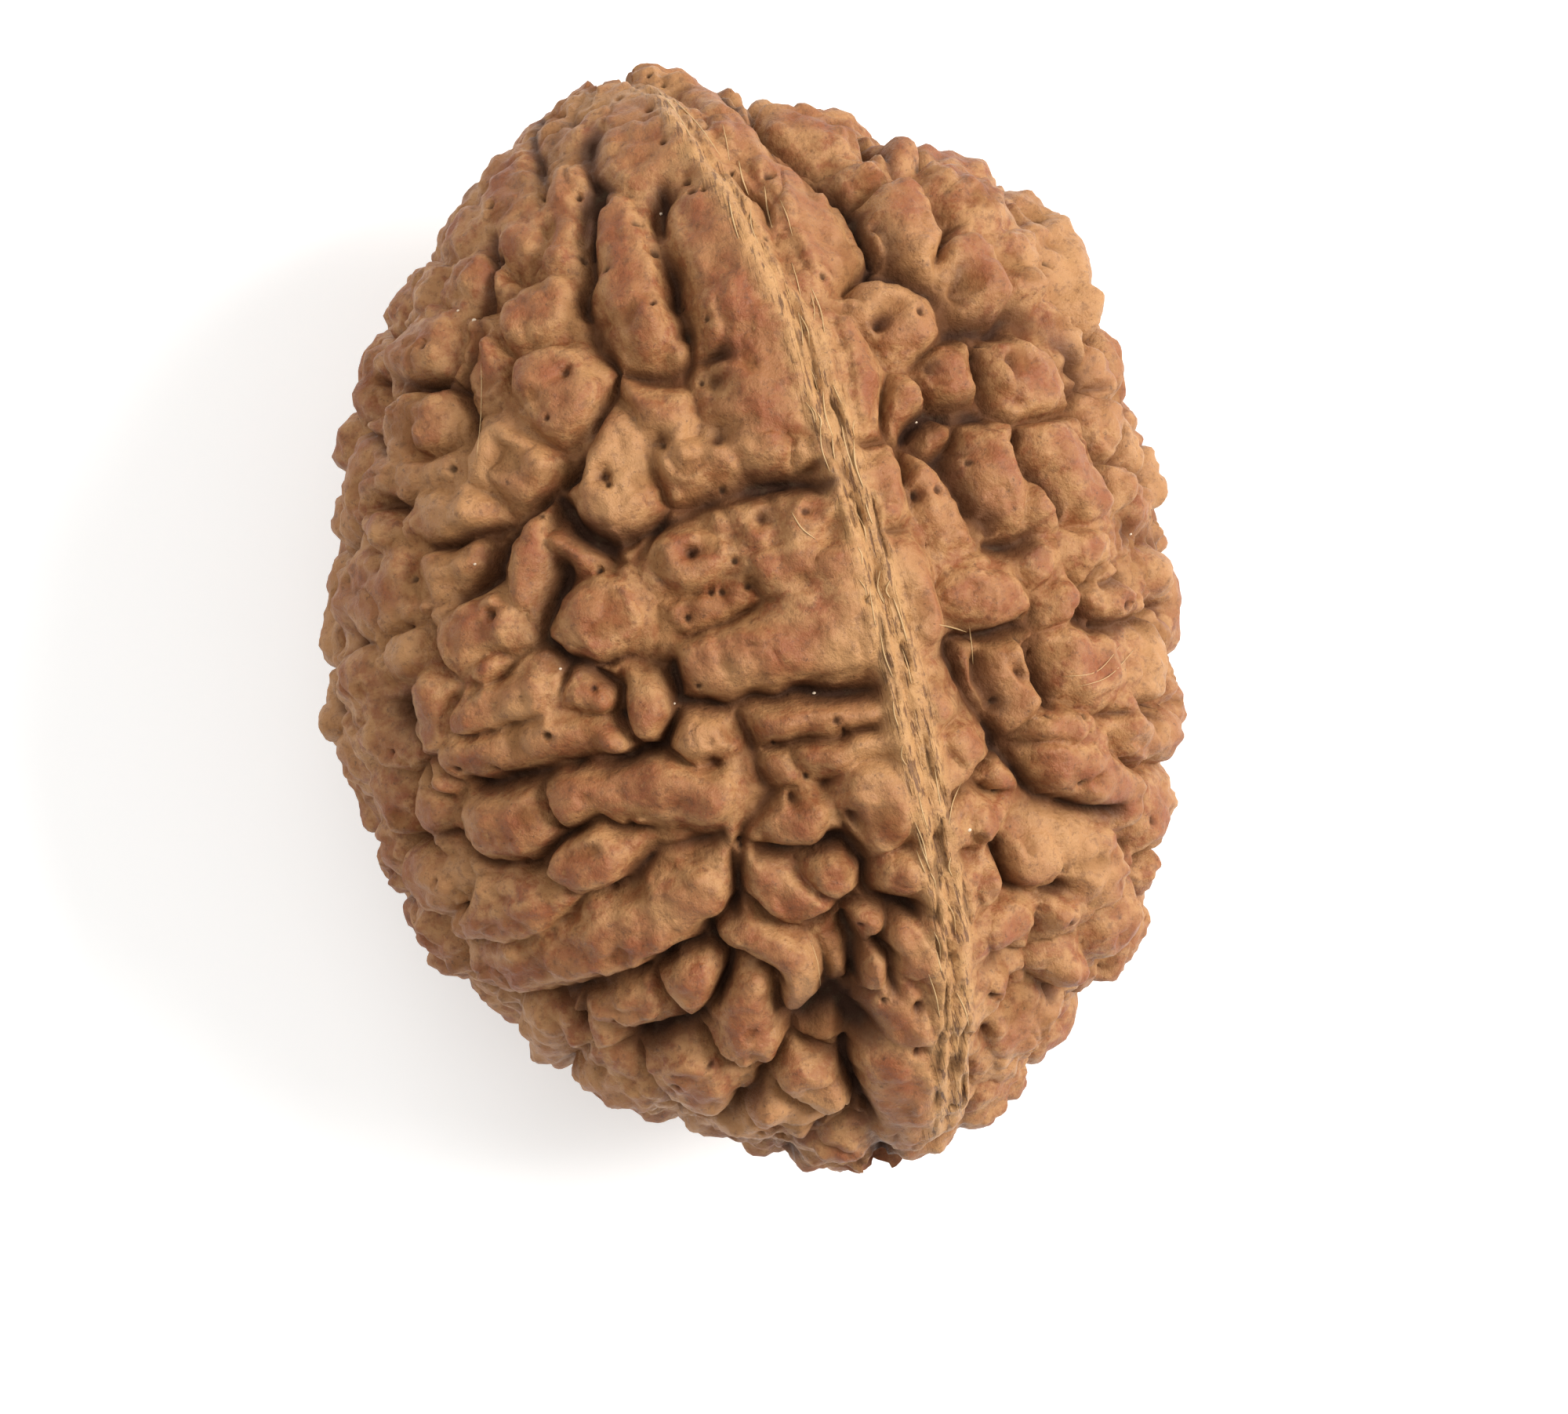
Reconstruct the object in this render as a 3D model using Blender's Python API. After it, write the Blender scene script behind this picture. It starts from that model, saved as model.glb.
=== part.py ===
"""A rudraksha bead: the woody stone of a fruit with two meeting lines, lying on its back.

The body is a smooth egg with pointed ends. Everything that stands out of it or sinks into it is one
height over that egg, measured along the egg's own normals: the two keels where the halves of the stone
meet, the lobes packed beside them, the creases between the lobes, the longer crevices and the pits.

Places on the face are (x, y) pairs in millimetres, seen from above. +Y runs along the stringing axis to
the stalk end, +X to the right and +Z up out of the face, from the middle of the bead.
"""

import bmesh
import bpy
import numpy as np
from mathutils import Matrix

MM = 0.001

# Driving dimensions, in millimetres
HALF_LENGTH = 17.0
HALF_WIDTH = 13.0
FACE_HEIGHT = 10.0
BACK_DEPTH = 9.6
CHANNEL_DIAMETER = 1.4
CHANNEL_X = -0.3
REST_DEPTH = 9.35
REST_SPOT = (0.0, -0.5)
REST_SPOT_RADIUS = 2.6
REST_SPOT_FADE = 1.4
SECTION_POWER = 2.15

# Fullness of the outline against a true ellipse: (y, left side, right side)
OUTLINE = (
    (-17.0, 0.68, 0.80), (-16.0, 0.76, 0.88), (-14.0, 0.90, 0.88), (-12.0, 0.95, 0.97),
    (-9.0, 0.99, 0.96), (-6.0, 1.03, 0.98), (-3.0, 1.01, 0.96), (0.0, 1.03, 0.985),
    (3.0, 0.99, 0.99), (7.0, 0.95, 1.04), (10.0, 0.94, 1.08), (12.0, 0.895, 1.02),
    (13.0, 0.86, 0.94), (14.0, 0.83, 0.90), (16.0, 0.66, 0.62), (17.0, 0.56, 0.52),
)

# The keel's crest on the face, as (y, x), and its section: (offset to the right, height)
KEEL_LINE = (
    (-17.0, 0.2), (-16.2, 1.1), (-15.0, 1.6), (-13.5, 2.0), (-12.0, 2.35), (-11.0, 2.6), (-9.5, 2.85),
    (-8.0, 2.95), (-6.0, 3.05), (-3.0, 3.1), (0.0, 3.15), (3.0, 3.05), (6.0, 2.9), (8.5, 2.75),
    (10.0, 2.35), (11.0, 2.1), (12.0, 1.85), (13.0, 1.5), (14.2, 1.1), (15.2, 0.8), (16.3, 0.1),
    (17.0, -0.3),
)
KEEL_SECTION = (
    (-6.0, 0.0), (-4.6, 0.08), (-2.0, 0.42), (-0.3, 0.75), (0.0, 0.85), (0.4, 0.75), (1.0, 0.6),
    (1.8, 0.3), (2.7, -0.25), (3.8, -0.15), (5.0, 0.0),
)
KEEL_BAND = (0.0, 1.1)
KEEL_BAND_SOFT = (0.4, 0.2)
KEEL_BAND_CALM = 0.7
KEEL_BAND_TAPER = 0.45
KEEL_BAND_TAPER_OVER = (7.0, 10.0)
KEEL_RISE = (0.5, 3.0)
KEEL_END_FADE = 3.0
KEEL_RIM = 2.0
KEEL_WANDER = 0.07
KEEL_WANDER_CELL = 1.1
KEEL_GROOVE_OFFSET = 0.5
KEEL_GROOVE_DEPTH = 0.2
KEEL_GROOVE_WIDTH = 0.13
BACK_KEEL_SHARE = 0.5

# How far below the egg the face's features are seen, and half the step its slope is taken over
LEAN = 0.8
STEP = 0.05

# Section of a lobe: how far it falls to its edge, how much of that is close to the edge (up to 0.85)
# and how softly neighbours run together
LOBE_DROP = 0.1
LOBE_RIM = 1.05
LOBE_DROP_PER_RADIUS = 0.5
LOBE_ROUNDNESS = 0.84
LOBE_BLEND = 0.28

# The fall into a crease between lobes, and the crease itself, which fades in and out
SHOULDER_DEPTH = 0.26
SHOULDER_WIDTH = 0.26
CREASE_DEPTH = 0.65
CREASE_WIDTH = 0.14
CREASE_LEAST = 0.1
CREASE_CELL = 2.0
CREASE_FADE = (-0.25, 0.5)

# How much crevices open and close along their length, and the deepest that anything is cut
OPENING = 0.5
OPENING_CELL = 1.3
FLOOR_DEPTH = 1.7

# Section of a crevice, in its half widths: a narrow cut between wide soft flanks
CUT_SHARE = 0.6
CUT_WIDTH = 0.6
FLANK_WIDTH = 1.7

# Seeds of the noises
WARP_SEEDS = (1, 2, 3)
FINE_WARP_SEEDS = (11, 12, 13)
SWELL_SEED = 5
CREASE_SEED = 21
OPENING_SEED = 33
KEEL_SEED = 31

# How far lobes and crevices wander, and the soft rises and dips under them
WARP = 0.18
WARP_CELL = 1.5
FINE_WARP = 0.12
FINE_WARP_CELL = 0.7
SWELL = 0.24
SWELL_CELL = 1.3

# The tips, where the relief fades: share left, and over what distance it comes back
CONE_TIP = (-2.5, 17.5)
CONE_SHARE = 0.25
CONE_FADE = (1.0, 8.0)
FOOT_SHARE = 0.35
FOOT_FADE = (0.2, 1.8)

# Lobes on the face: (radius, how far the top is sunk, places along the lobe's spine)
STALK_END_LOBES = (
    (1.1, 0.0, (-0.9, 16.2), (-2.0, 14.9)),
    (1.1, 0.0, (0.1, 15.4), (0.0, 13.3)),
    (0.45, 0.05, (-2.2, 13.8), (-2.7, 12.2), (-3.1, 11.4)),
    (1.1, 0.0, (-3.9, 14.3), (-3.9, 13.3)),
    (0.8, 0.05, (-3.9, 12.1)),
    (0.9, 0.05, (-5.4, 13.1)),
    (0.8, 0.05, (-7.0, 11.7)),
    (0.75, 0.15, (-5.8, 11.6), (-5.1, 11.5)),
    (0.95, 0.1, (2.2, 15.4), (2.9, 13.9), (3.5, 12.8), (4.2, 11.6), (4.5, 10.4), (4.6, 9.8)),
    (0.5, 0.1, (3.4, 15.0)),
    (1.15, 0.0, (4.6, 13.9), (5.5, 13.3)),
    (0.55, 0.05, (6.3, 11.6)),
    (0.8, 0.0, (7.2, 12.1)),
)
LEFT_UPPER_LOBES = (
    (0.85, 0.0, (-1.3, 11.9), (-1.1, 8.8)),
    (0.9, 0.0, (-4.3, 10.2), (-3.5, 10.3)),
    (1.1, 0.0, (-4.2, 8.3), (-3.8, 7.4)),
    (0.6, 0.35, (-5.9, 10.0), (-5.8, 8.6)),
    (1.1, 0.0, (-7.8, 9.9), (-7.3, 10.0)),
    (0.75, 0.05, (-9.3, 10.1)),
    (0.95, 0.0, (-8.5, 7.9), (-7.8, 7.8)),
    (0.85, 0.0, (-10.1, 7.9)),
    (0.45, 0.0, (-9.9, 6.5), (-7.5, 6.5)),
    (1.0, 0.0, (-6.2, 6.2), (-5.6, 5.8)),
    (0.75, 0.0, (-8.3, 5.1), (-7.1, 5.0)),
    (0.6, 0.05, (-8.6, 3.7), (-7.6, 3.6)),
    (0.85, 0.0, (-11.0, 5.7)),
    (0.5, 0.1, (-9.9, 5.2)),
    (1.2, 0.0, (-11.3, 3.6), (-10.1, 3.2)),
    (1.05, 0.0, (-2.9, 6.2), (-3.3, 4.2)),
    (0.4, 0.1, (-2.0, 7.1), (-1.5, 6.5), (-0.8, 5.9)),
    (0.7, 0.1, (-1.0, 4.9), (0.3, 4.9)),
    (1.2, 0.0, (1.5, 11.2), (1.6, 8.6), (1.6, 5.3)),
)
LEFT_MIDDLE_LOBES = (
    (1.0, 0.0, (-1.4, 2.15)),
    (1.25, 0.0, (-4.4, 1.2)),
    (0.5, 0.0, (-4.9, 3.7), (-4.4, 2.8)),
    (0.5, 0.0, (-5.5, 4.2), (-5.9, 3.0), (-6.4, 2.2)),
    (0.85, 0.0, (-8.4, 1.5), (-7.3, 1.7)),
    (0.45, 0.0, (-7.9, 0.5)),
    (0.65, 0.0, (-8.8, -0.8), (-7.0, -0.5)),
    (0.6, 0.0, (-9.6, 0.1), (-9.8, -0.9)),
    (0.8, 0.05, (-10.2, 1.3)),
    (0.75, 0.05, (-11.6, 1.0)),
    (0.7, 0.0, (-12.6, 0.0)),
    (0.75, 0.0, (-12.4, -1.0)),
    (0.75, 0.1, (-11.2, -1.0)),
    (0.95, 0.0, (-11.5, -2.6)),
    (0.5, 0.0, (-12.7, -2.0), (-12.6, -2.8)),
    (0.4, 0.1, (-10.0, -2.6)),
    (0.6, 0.0, (-9.4, -2.0), (-7.2, -2.0), (-4.9, -2.4)),
    (0.65, 0.0, (-5.2, -1.1)),
    (0.85, 0.0, (-3.8, -1.8)),
    (0.5, 0.1, (0.6, 2.3)),
    (0.7, 0.0, (2.2, 2.4)),
    (0.6, 0.1, (0.7, 1.3), (2.6, 1.0)),
    (0.5, 0.8, (-2.1, 0.6), (-0.6, 0.6)),
    (1.05, 0.0, (-1.7, -0.9), (2.4, -1.1)),
    (0.7, 0.1, (-2.4, -3.1)),
    (0.9, 0.0, (-6.4, -3.8), (-4.5, -4.1), (-2.7, -4.8)),
    (1.0, 0.0, (-9.0, -4.0), (-7.9, -4.2)),
    (1.1, 0.0, (-11.2, -5.0), (-10.9, -5.6)),
    (0.8, 0.0, (-6.8, -5.7), (-6.0, -5.8)),
    (0.5, 0.1, (-0.4, -3.2), (2.5, -3.3)),
    (0.4, 0.15, (0.6, -4.35), (2.7, -4.4)),
    (0.6, 0.45, (-0.5, -4.5)),
    (0.9, 0.15, (-0.3, -6.0)),
    (0.75, 0.0, (1.9, -5.6), (2.1, -6.6)),
)
LEFT_LOWER_LOBES = (
    (0.6, 0.0, (-10.2, -6.6), (-7.9, -6.7)),
    (0.7, 0.0, (-11.4, -7.5)),
    (0.9, 0.0, (-9.8, -8.1), (-7.5, -8.2), (-5.3, -8.0), (-3.6, -7.4)),
    (0.5, 0.6, (-4.1, -6.2)),
    (0.7, 0.1, (-1.4, -7.5), (-0.9, -8.3)),
    (0.75, 0.0, (0.2, -7.6)),
    (0.65, 0.0, (2.2, -8.1)),
    (0.9, 0.0, (-9.0, -10.0), (-8.9, -10.9)),
    (0.6, 0.25, (-7.1, -10.1), (-5.9, -10.2)),
    (0.85, 0.0, (-4.4, -9.9)),
    (0.95, 0.0, (-7.9, -11.8), (-7.0, -12.4)),
    (0.95, 0.0, (-4.9, -12.5), (-4.7, -13.2)),
    (0.85, 0.2, (-5.2, -14.3), (-3.8, -14.4)),
    (0.55, 0.0, (-2.5, -8.8), (-1.7, -9.4), (-1.2, -10.1), (-1.2, -10.8), (-1.7, -11.3)),
    (0.95, 0.0, (-3.0, -10.9), (-3.1, -12.0)),
    (0.35, 0.8, (-0.2, -9.4), (-0.3, -10.8)),
    (0.55, 0.0, (1.0, -9.2)),
    (0.55, 0.0, (1.7, -9.7), (2.0, -10.7)),
    (0.55, 0.15, (0.7, -10.7)),
    (0.75, 0.0, (1.2, -11.6), (1.3, -12.3)),
    (0.95, 0.0, (0.8, -13.1), (0.8, -14.1), (0.7, -15.5)),
    (0.5, 1.1, (-1.0, -12.3)),
    (0.85, 0.0, (-2.0, -13.3), (-1.6, -13.8)),
    (0.85, 0.0, (-1.3, -15.6)),
    (0.7, 0.1, (-3.2, -15.7)),
)
RIGHT_UPPER_LOBES = (
    (0.95, 0.0, (7.0, 10.8), (7.2, 9.7)),
    (0.95, 0.0, (8.6, 11.1), (9.2, 10.4)),
    (1.0, 0.0, (10.9, 9.7), (11.3, 8.2), (11.4, 6.6)),
    (0.95, 0.0, (8.7, 8.7), (8.8, 7.7)),
    (0.45, 0.1, (9.9, 8.9)),
    (0.5, 0.1, (9.9, 7.5)),
    (1.15, 0.0, (5.8, 8.1), (6.5, 7.4)),
    (0.85, 0.0, (7.3, 5.9), (7.3, 5.4)),
    (0.6, 0.15, (5.8, 5.1)),
    (0.45, 0.1, (4.7, 7.6), (4.65, 5.2)),
    (1.05, 0.0, (9.1, 5.3), (9.6, 4.8)),
    (0.85, 0.0, (11.4, 4.7)),
    (0.4, 0.5, (6.6, 3.9)),
    (0.6, 0.05, (4.55, 3.3), (4.6, 2.2)),
    (0.65, 0.0, (5.7, 2.7), (6.1, 1.1)),
    (1.0, 0.0, (7.6, 2.8), (7.7, 1.7)),
    (0.45, 0.0, (8.7, 1.0)),
    (0.95, 0.0, (9.7, 2.6), (10.2, 1.3)),
    (0.75, 0.0, (11.3, 3.1)),
    (0.5, 0.1, (11.3, 1.1)),
    (0.7, 0.0, (12.4, 1.7), (12.3, 0.9)),
)
RIGHT_LOWER_LOBES = (
    (0.65, 0.0, (4.7, 0.5), (4.8, -1.2)),
    (0.9, 0.0, (6.2, -0.7), (7.1, -1.3)),
    (0.55, 0.0, (8.4, -0.4)),
    (0.7, 0.0, (8.7, -1.7)),
    (0.6, 0.0, (9.9, -0.4)),
    (0.6, 0.35, (11.2, -0.4)),
    (0.6, 0.1, (12.3, -0.5)),
    (0.8, 0.0, (11.6, -1.6)),
    (0.6, 0.0, (10.2, -2.0)),
    (0.85, 0.0, (6.8, -3.1), (6.8, -4.1)),
    (0.85, 0.0, (8.6, -3.5), (9.2, -3.8)),
    (0.85, 0.0, (10.9, -3.8), (10.7, -4.6)),
    (0.65, 0.0, (7.5, -5.3), (8.0, -5.4)),
    (0.35, 0.05, (4.5, -3.2), (4.6, -4.0)),
    (0.75, 0.0, (5.15, -5.1)),
    (0.85, 0.0, (7.4, -6.2), (8.4, -6.9), (9.1, -7.8)),
    (0.85, 0.0, (9.8, -6.0), (10.7, -6.2)),
    (0.65, 0.0, (10.2, -8.2)),
    (0.5, 0.0, (5.9, -6.5)),
    (0.75, 0.05, (5.2, -7.4)),
    (0.65, 0.0, (4.65, -9.0)),
    (0.8, 0.0, (6.2, -8.8)),
    (1.0, 0.05, (8.0, -9.1), (8.0, -10.0)),
    (0.6, 0.05, (9.3, -9.9)),
    (0.9, 0.0, (5.0, -10.6)),
    (0.5, 0.0, (6.5, -10.7)),
    (0.95, 0.0, (8.3, -11.7), (7.8, -12.1)),
    (0.7, 0.0, (6.3, -12.2)),
    (0.4, 0.1, (4.3, -12.1)),
    (1.1, 0.1, (4.6, -13.5), (5.2, -13.6)),
    (0.65, 0.0, (4.7, -15.1)),
    (0.85, 0.0, (3.1, -15.6)),
)

# Lobes where the face's own list leaves room, over the rim and the back
FILL_SEED = 108
FILL_TRIES = 9000
FILL_RADIUS = (0.8, 1.35)
FILL_STRETCH = 3.2
FILL_OVERLAP = 0.12
FILL_SINK = 0.25
FILL_NEAR = 8.0

# Crevices on the face: (depth, half width, places along it)
CREVICES = (
    (1.0, 0.18, (-2.5, 15.4), (-2.8, 14.4), (-2.7, 13.5)),
    (0.9, 0.14, (-1.1, 16.2), (-1.6, 14.8)),
    (1.7, 0.20, (-1.2, 14.3), (-1.5, 12.8), (-2.2, 11.4)),
    (1.2, 0.22, (-2.2, 11.4), (-2.5, 10.3), (-2.5, 9.0), (-2.3, 8.0), (-2.7, 7.1), (-3.9, 5.9),
     (-4.6, 5.1), (-5.8, 4.4), (-6.8, 3.8), (-7.1, 3.1), (-8.3, 2.5)),
    (1.3, 0.28, (-4.8, 4.8), (-4.5, 3.9), (-3.6, 3.1), (-2.4, 3.3), (0.0, 3.65), (1.4, 3.6), (2.9, 3.2)),
    (1.2, 0.20, (0.3, 12.3), (0.1, 11.0), (0.0, 9.9), (-0.1, 8.4)),
    (1.0, 0.26, (-2.1, 7.9), (-0.8, 7.6), (0.9, 7.7)),
    (0.9, 0.20, (-4.6, 12.6), (-4.9, 11.6), (-5.6, 10.7), (-6.1, 9.6), (-6.6, 8.7), (-6.7, 7.3)),
    (0.8, 0.20, (-8.9, 9.5), (-7.9, 9.0), (-6.7, 8.6)),
    (0.6, 0.20, (-9.6, 8.3), (-9.3, 7.4)),
    (0.7, 0.20, (-9.9, 5.7), (-9.2, 5.75)),
    (0.9, 0.20, (-8.7, 4.4), (-7.5, 4.2), (-6.5, 4.3)),
    (1.3, 0.36, (-5.1, 2.7), (-5.6, 1.9), (-6.2, 0.8), (-5.9, 0.0), (-5.1, -0.4), (-4.5, -1.1), (-4.5, -1.9)),
    (0.9, 0.26, (-5.0, -0.3), (-4.0, -0.2), (-3.1, -0.6)),
    (1.4, 0.28, (-2.9, -0.7), (-2.8, -1.9), (-1.6, -2.3), (0.5, -2.35), (1.6, -2.6), (2.9, -2.8)),
    (1.1, 0.26, (-2.9, -2.1), (-3.4, -2.9), (-4.6, -3.2), (-6.0, -2.9), (-7.8, -2.8), (-9.2, -2.8)),
    (0.9, 0.22, (-12.3, -3.95), (-10.9, -3.9), (-10.2, -4.2), (-9.3, -5.2), (-8.2, -5.5), (-7.2, -4.8),
     (-5.8, -4.8), (-4.3, -5.7)),
    (1.2, 0.32, (-6.2, -6.8), (-5.4, -6.5), (-4.6, -6.1), (-2.6, -6.0)),
    (1.0, 0.32, (-1.2, -2.6), (-1.15, -4.2), (-0.8, -5.2), (-1.7, -6.0), (-2.3, -7.2), (-2.7, -8.3)),
    (0.6, 0.18, (-0.7, -3.85), (1.0, -3.85), (2.5, -3.95)),
    (1.2, 0.22, (-1.5, -6.7), (-0.8, -6.9), (0.7, -6.85), (1.25, -7.6), (1.2, -8.5), (2.4, -9.3)),
    (1.0, 0.24, (-10.0, -9.3), (-8.0, -9.45), (-6.0, -9.25), (-4.8, -8.95), (-3.6, -8.6), (-3.3, -9.6),
     (-3.9, -10.8)),
    (0.8, 0.18, (-7.8, -9.5), (-7.9, -10.5)),
    (1.2, 0.36, (-6.5, -11.4), (-5.4, -11.25), (-4.4, -11.2)),
    (1.5, 0.55, (-1.5, -11.9), (-0.5, -11.5), (0.1, -12.2)),
    (0.9, 0.20, (-2.9, -9.95), (-2.2, -10.1), (-1.8, -10.6)),
    (0.8, 0.20, (-0.7, -8.9), (0.3, -8.7), (1.1, -8.6)),
    (1.1, 0.22, (0.2, -9.1), (0.3, -9.9), (0.1, -11.0)),
    (0.8, 0.18, (0.9, -9.9), (1.2, -10.5), (1.2, -11.2)),
    (1.3, 0.26, (-0.5, -12.9), (-0.55, -14.0), (-0.3, -15.0), (-0.3, -16.3)),
    (1.0, 0.22, (-1.0, -14.6), (-2.0, -15.0), (-3.2, -15.4), (-4.2, -15.3)),
    (0.8, 0.20, (-2.9, -12.9), (-3.3, -13.4), (-4.4, -14.0)),
    (0.9, 0.30, (5.4, -2.0), (5.6, -3.4), (5.9, -4.8)),
    (1.2, 0.26, (5.9, -4.8), (6.4, -6.2), (6.8, -7.2)),
    (1.1, 0.18, (6.8, -7.3), (8.2, -7.8), (8.8, -8.0)),
    (1.1, 0.22, (5.7, -1.95), (6.6, -2.15), (7.6, -2.1)),
    (0.9, 0.18, (7.65, -2.8), (7.75, -4.6)),
    (0.7, 0.18, (8.8, -5.2), (9.8, -5.4), (10.7, -5.7)),
    (0.7, 0.18, (9.4, -2.2), (9.5, -2.8), (10.6, -2.9), (11.6, -2.6)),
    (1.0, 0.22, (5.2, -8.2), (5.4, -9.5), (6.0, -9.8), (6.9, -9.9)),
    (1.2, 0.32, (4.1, -11.4), (4.5, -11.5)),
    (1.2, 0.32, (7.3, 0.5), (7.9, 0.2), (8.4, 0.2)),
    (1.1, 0.26, (8.75, 3.2), (8.85, 2.3), (9.2, 1.3), (9.4, 0.8)),
    (0.8, 0.18, (12.1, 2.4), (11.8, 1.2)),
    (1.2, 0.26, (2.9, 15.4), (3.1, 14.3), (3.9, 13.3), (4.6, 12.5), (5.4, 11.6), (5.9, 10.9), (5.9, 10.0),
     (5.8, 9.2)),
    (0.8, 0.20, (6.6, 12.7), (7.5, 11.2), (8.1, 10.6), (8.2, 9.7)),
    (1.2, 0.24, (5.9, 9.2), (6.7, 8.8), (7.4, 8.1), (7.7, 7.0), (8.9, 6.6), (9.7, 6.7), (10.3, 6.2),
     (10.7, 5.4), (11.0, 4.2)),
    (1.0, 0.30, (5.9, 4.2), (6.6, 4.5), (7.6, 4.4), (8.0, 4.1)),
    (0.7, 0.18, (7.9, 4.4), (8.1, 5.4), (8.2, 6.4)),
    (0.6, 0.18, (4.0, 1.45), (4.9, 1.4)),
    (0.9, 0.40, (6.7, 3.0), (6.8, 1.6), (7.4, 0.9)),
    (0.7, 0.35, (8.8, 5.6), (8.8, 4.4)),
    (0.7, 0.25, (6.4, 3.3), (7.3, 3.25)),
    (0.7, 0.25, (10.7, 4.2), (11.4, 4.2)),
    (0.6, 0.40, (11.2, -0.2), (12.1, -0.7)),
    (0.6, 0.22, (10.1, -1.5), (10.8, -1.3)),
    (0.8, 0.35, (6.1, -2.8), (6.2, -4.3)),
    (0.6, 0.35, (6.3, 10.4), (6.5, 9.3)),
    (0.5, 0.30, (8.2, 8.4), (8.0, 7.6)),
)

# Pits on the face: (depth, radius, place)
PITS = (
    (0.7, 0.20, (-3.6, 8.3)), (0.7, 0.20, (-3.3, 5.1)), (0.9, 0.24, (-1.2, 2.35)),
    (0.8, 0.35, (0.2, 5.3)), (0.6, 0.40, (-1.3, 5.7)), (0.8, 0.30, (0.9, 2.8)),
    (0.6, 0.35, (0.45, 7.0)), (1.1, 0.50, (-10.6, -0.3)),
    (1.0, 0.35, (-12.4, 0.4)), (1.0, 0.35, (-11.6, 2.1)), (0.9, 0.28, (-2.25, -3.75)),
    (0.9, 0.32, (-0.3, -5.4)), (0.7, 0.22, (0.8, -5.2)), (0.7, 0.22, (1.3, -6.3)),
    (0.5, 0.35, (-9.9, -9.4)), (0.7, 0.28, (-10.8, -7.7)), (0.9, 0.30, (5.9, -12.9)),
    (0.9, 0.30, (3.6, -13.4)), (0.8, 0.28, (9.0, -9.2)), (0.7, 0.22, (7.2, -3.4)),
    (0.9, 0.28, (6.7, 5.85)), (0.8, 0.25, (5.7, 7.5)), (0.8, 0.25, (1.75, -11.7)),
    (0.8, 0.25, (6.2, 9.6)), (0.7, 0.22, (8.5, 9.9)), (0.6, 0.25, (5.4, 2.4)),
    (0.35, 0.3, (0.2, 0.95)), (0.5, 0.22, (7.2, -11.3)), (0.5, 0.22, (7.3, -12.4)),
    (0.8, 0.28, (-10.1, 4.2)), (0.7, 0.25, (-10.9, 4.8)),
)

# Where neighbouring lobes run together: (share, half width, places along it)
MERGES = (
    (0.95, 1.7, (-0.6, 16.6), (-0.9, 15.2), (-0.2, 13.8)), (0.8, 0.9, (-2.6, 15.6), (-3.2, 14.2)),
    (0.85, 1.4, (-4.2, 14.3), (-5.4, 12.8), (-6.6, 11.8)), (0.6, 0.6, (-3.2, 13.2), (-3.5, 11.9)),
    (0.7, 0.8, (-3.8, 12.6), (-5.0, 11.9)),
    (0.9, 1.1, (1.0, 14.2), (1.3, 12.6)), (0.7, 0.9, (2.6, 14.6), (3.7, 12.6), (4.4, 11.0)),
    (0.7, 0.8, (-8.6, 10.0), (-8.9, 9.2)), (0.7, 0.8, (-9.3, 7.3), (-8.4, 6.4)),
    (0.6, 0.6, (-7.2, 5.8), (-6.4, 6.6)), (0.7, 0.9, (-10.2, 5.8), (-9.5, 4.4), (-9.2, 3.3)),
    (0.9, 0.9, (-0.9, 5.0), (1.4, 4.9), (1.5, 6.5)), (0.7, 0.7, (-1.8, 6.4), (-0.9, 5.5)),
    (0.8, 0.9, (1.9, 1.9), (1.0, 0.2), (2.5, 0.1)), (0.6, 0.5, (-5.3, 3.7), (-5.0, 3.2)),
    (0.8, 1.4, (-11.8, 1.3), (-11.2, 0.3), (-12.0, -1.0)), (0.7, 0.9, (-9.9, 1.6), (-9.7, 0.0), (-9.6, -1.4)),
    (0.8, 1.0, (-8.6, 0.9), (-8.2, -0.2)), (0.7, 0.8, (-9.6, -7.2), (-8.2, -7.3)),
    (0.6, 0.7, (-8.3, -6.2), (-7.5, -6.4)), (0.5, 0.6, (-0.8, -7.4), (-0.5, -7.9)),
    (0.8, 1.0, (1.2, -11.2), (1.2, -12.6), (1.0, -14.9)), (0.7, 0.7, (7.9, -5.8), (8.3, -6.3)),
    (0.6, 0.8, (10.0, 8.6), (10.2, 7.4)), (0.6, 0.8, (9.2, -3.7), (10.2, -4.1)),
    (0.7, 1.0, (7.0, -9.0), (8.2, -10.0)), (0.6, 0.8, (4.0, -14.5), (3.6, -15.6)),
    (0.6, 0.8, (-7.6, -10.9), (-6.6, -12.8)), (0.6, 0.8, (9.3, 9.9), (9.8, 11.0)),
)

# Density of the fine mesh, and the triangles kept in the solid
SPHERE_SUBDIVISIONS = 8
SOLID_TRIANGLES = 9600
CHANNEL_SIDES = 14
CHUNK = 20000

BEAD_COLOR = (0.33, 0.17, 0.08, 1.0)
BEAD_ROUGHNESS = 0.62


def clear_scene():
    """Remove whatever the file holds."""
    for item in list(bpy.data.objects):
        bpy.data.objects.remove(item, do_unlink=True)


def smooth_curve(at, knots):
    """Cubic through (place, value) knots, each knot's slope set by its neighbours."""
    places, values = np.array(knots).T
    slopes = np.gradient(values, places)
    at = np.clip(at, places[0], places[-1])
    left = np.clip(np.searchsorted(places, at) - 1, 0, len(places) - 2)
    span = places[left + 1] - places[left]
    t = (at - places[left]) / span
    return (
        (2 * t**3 - 3 * t**2 + 1) * values[left]
        + (t**3 - 2 * t**2 + t) * span * slopes[left]
        + (3 * t**2 - 2 * t**3) * values[left + 1]
        + (t**3 - t**2) * span * slopes[left + 1]
    )


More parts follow.
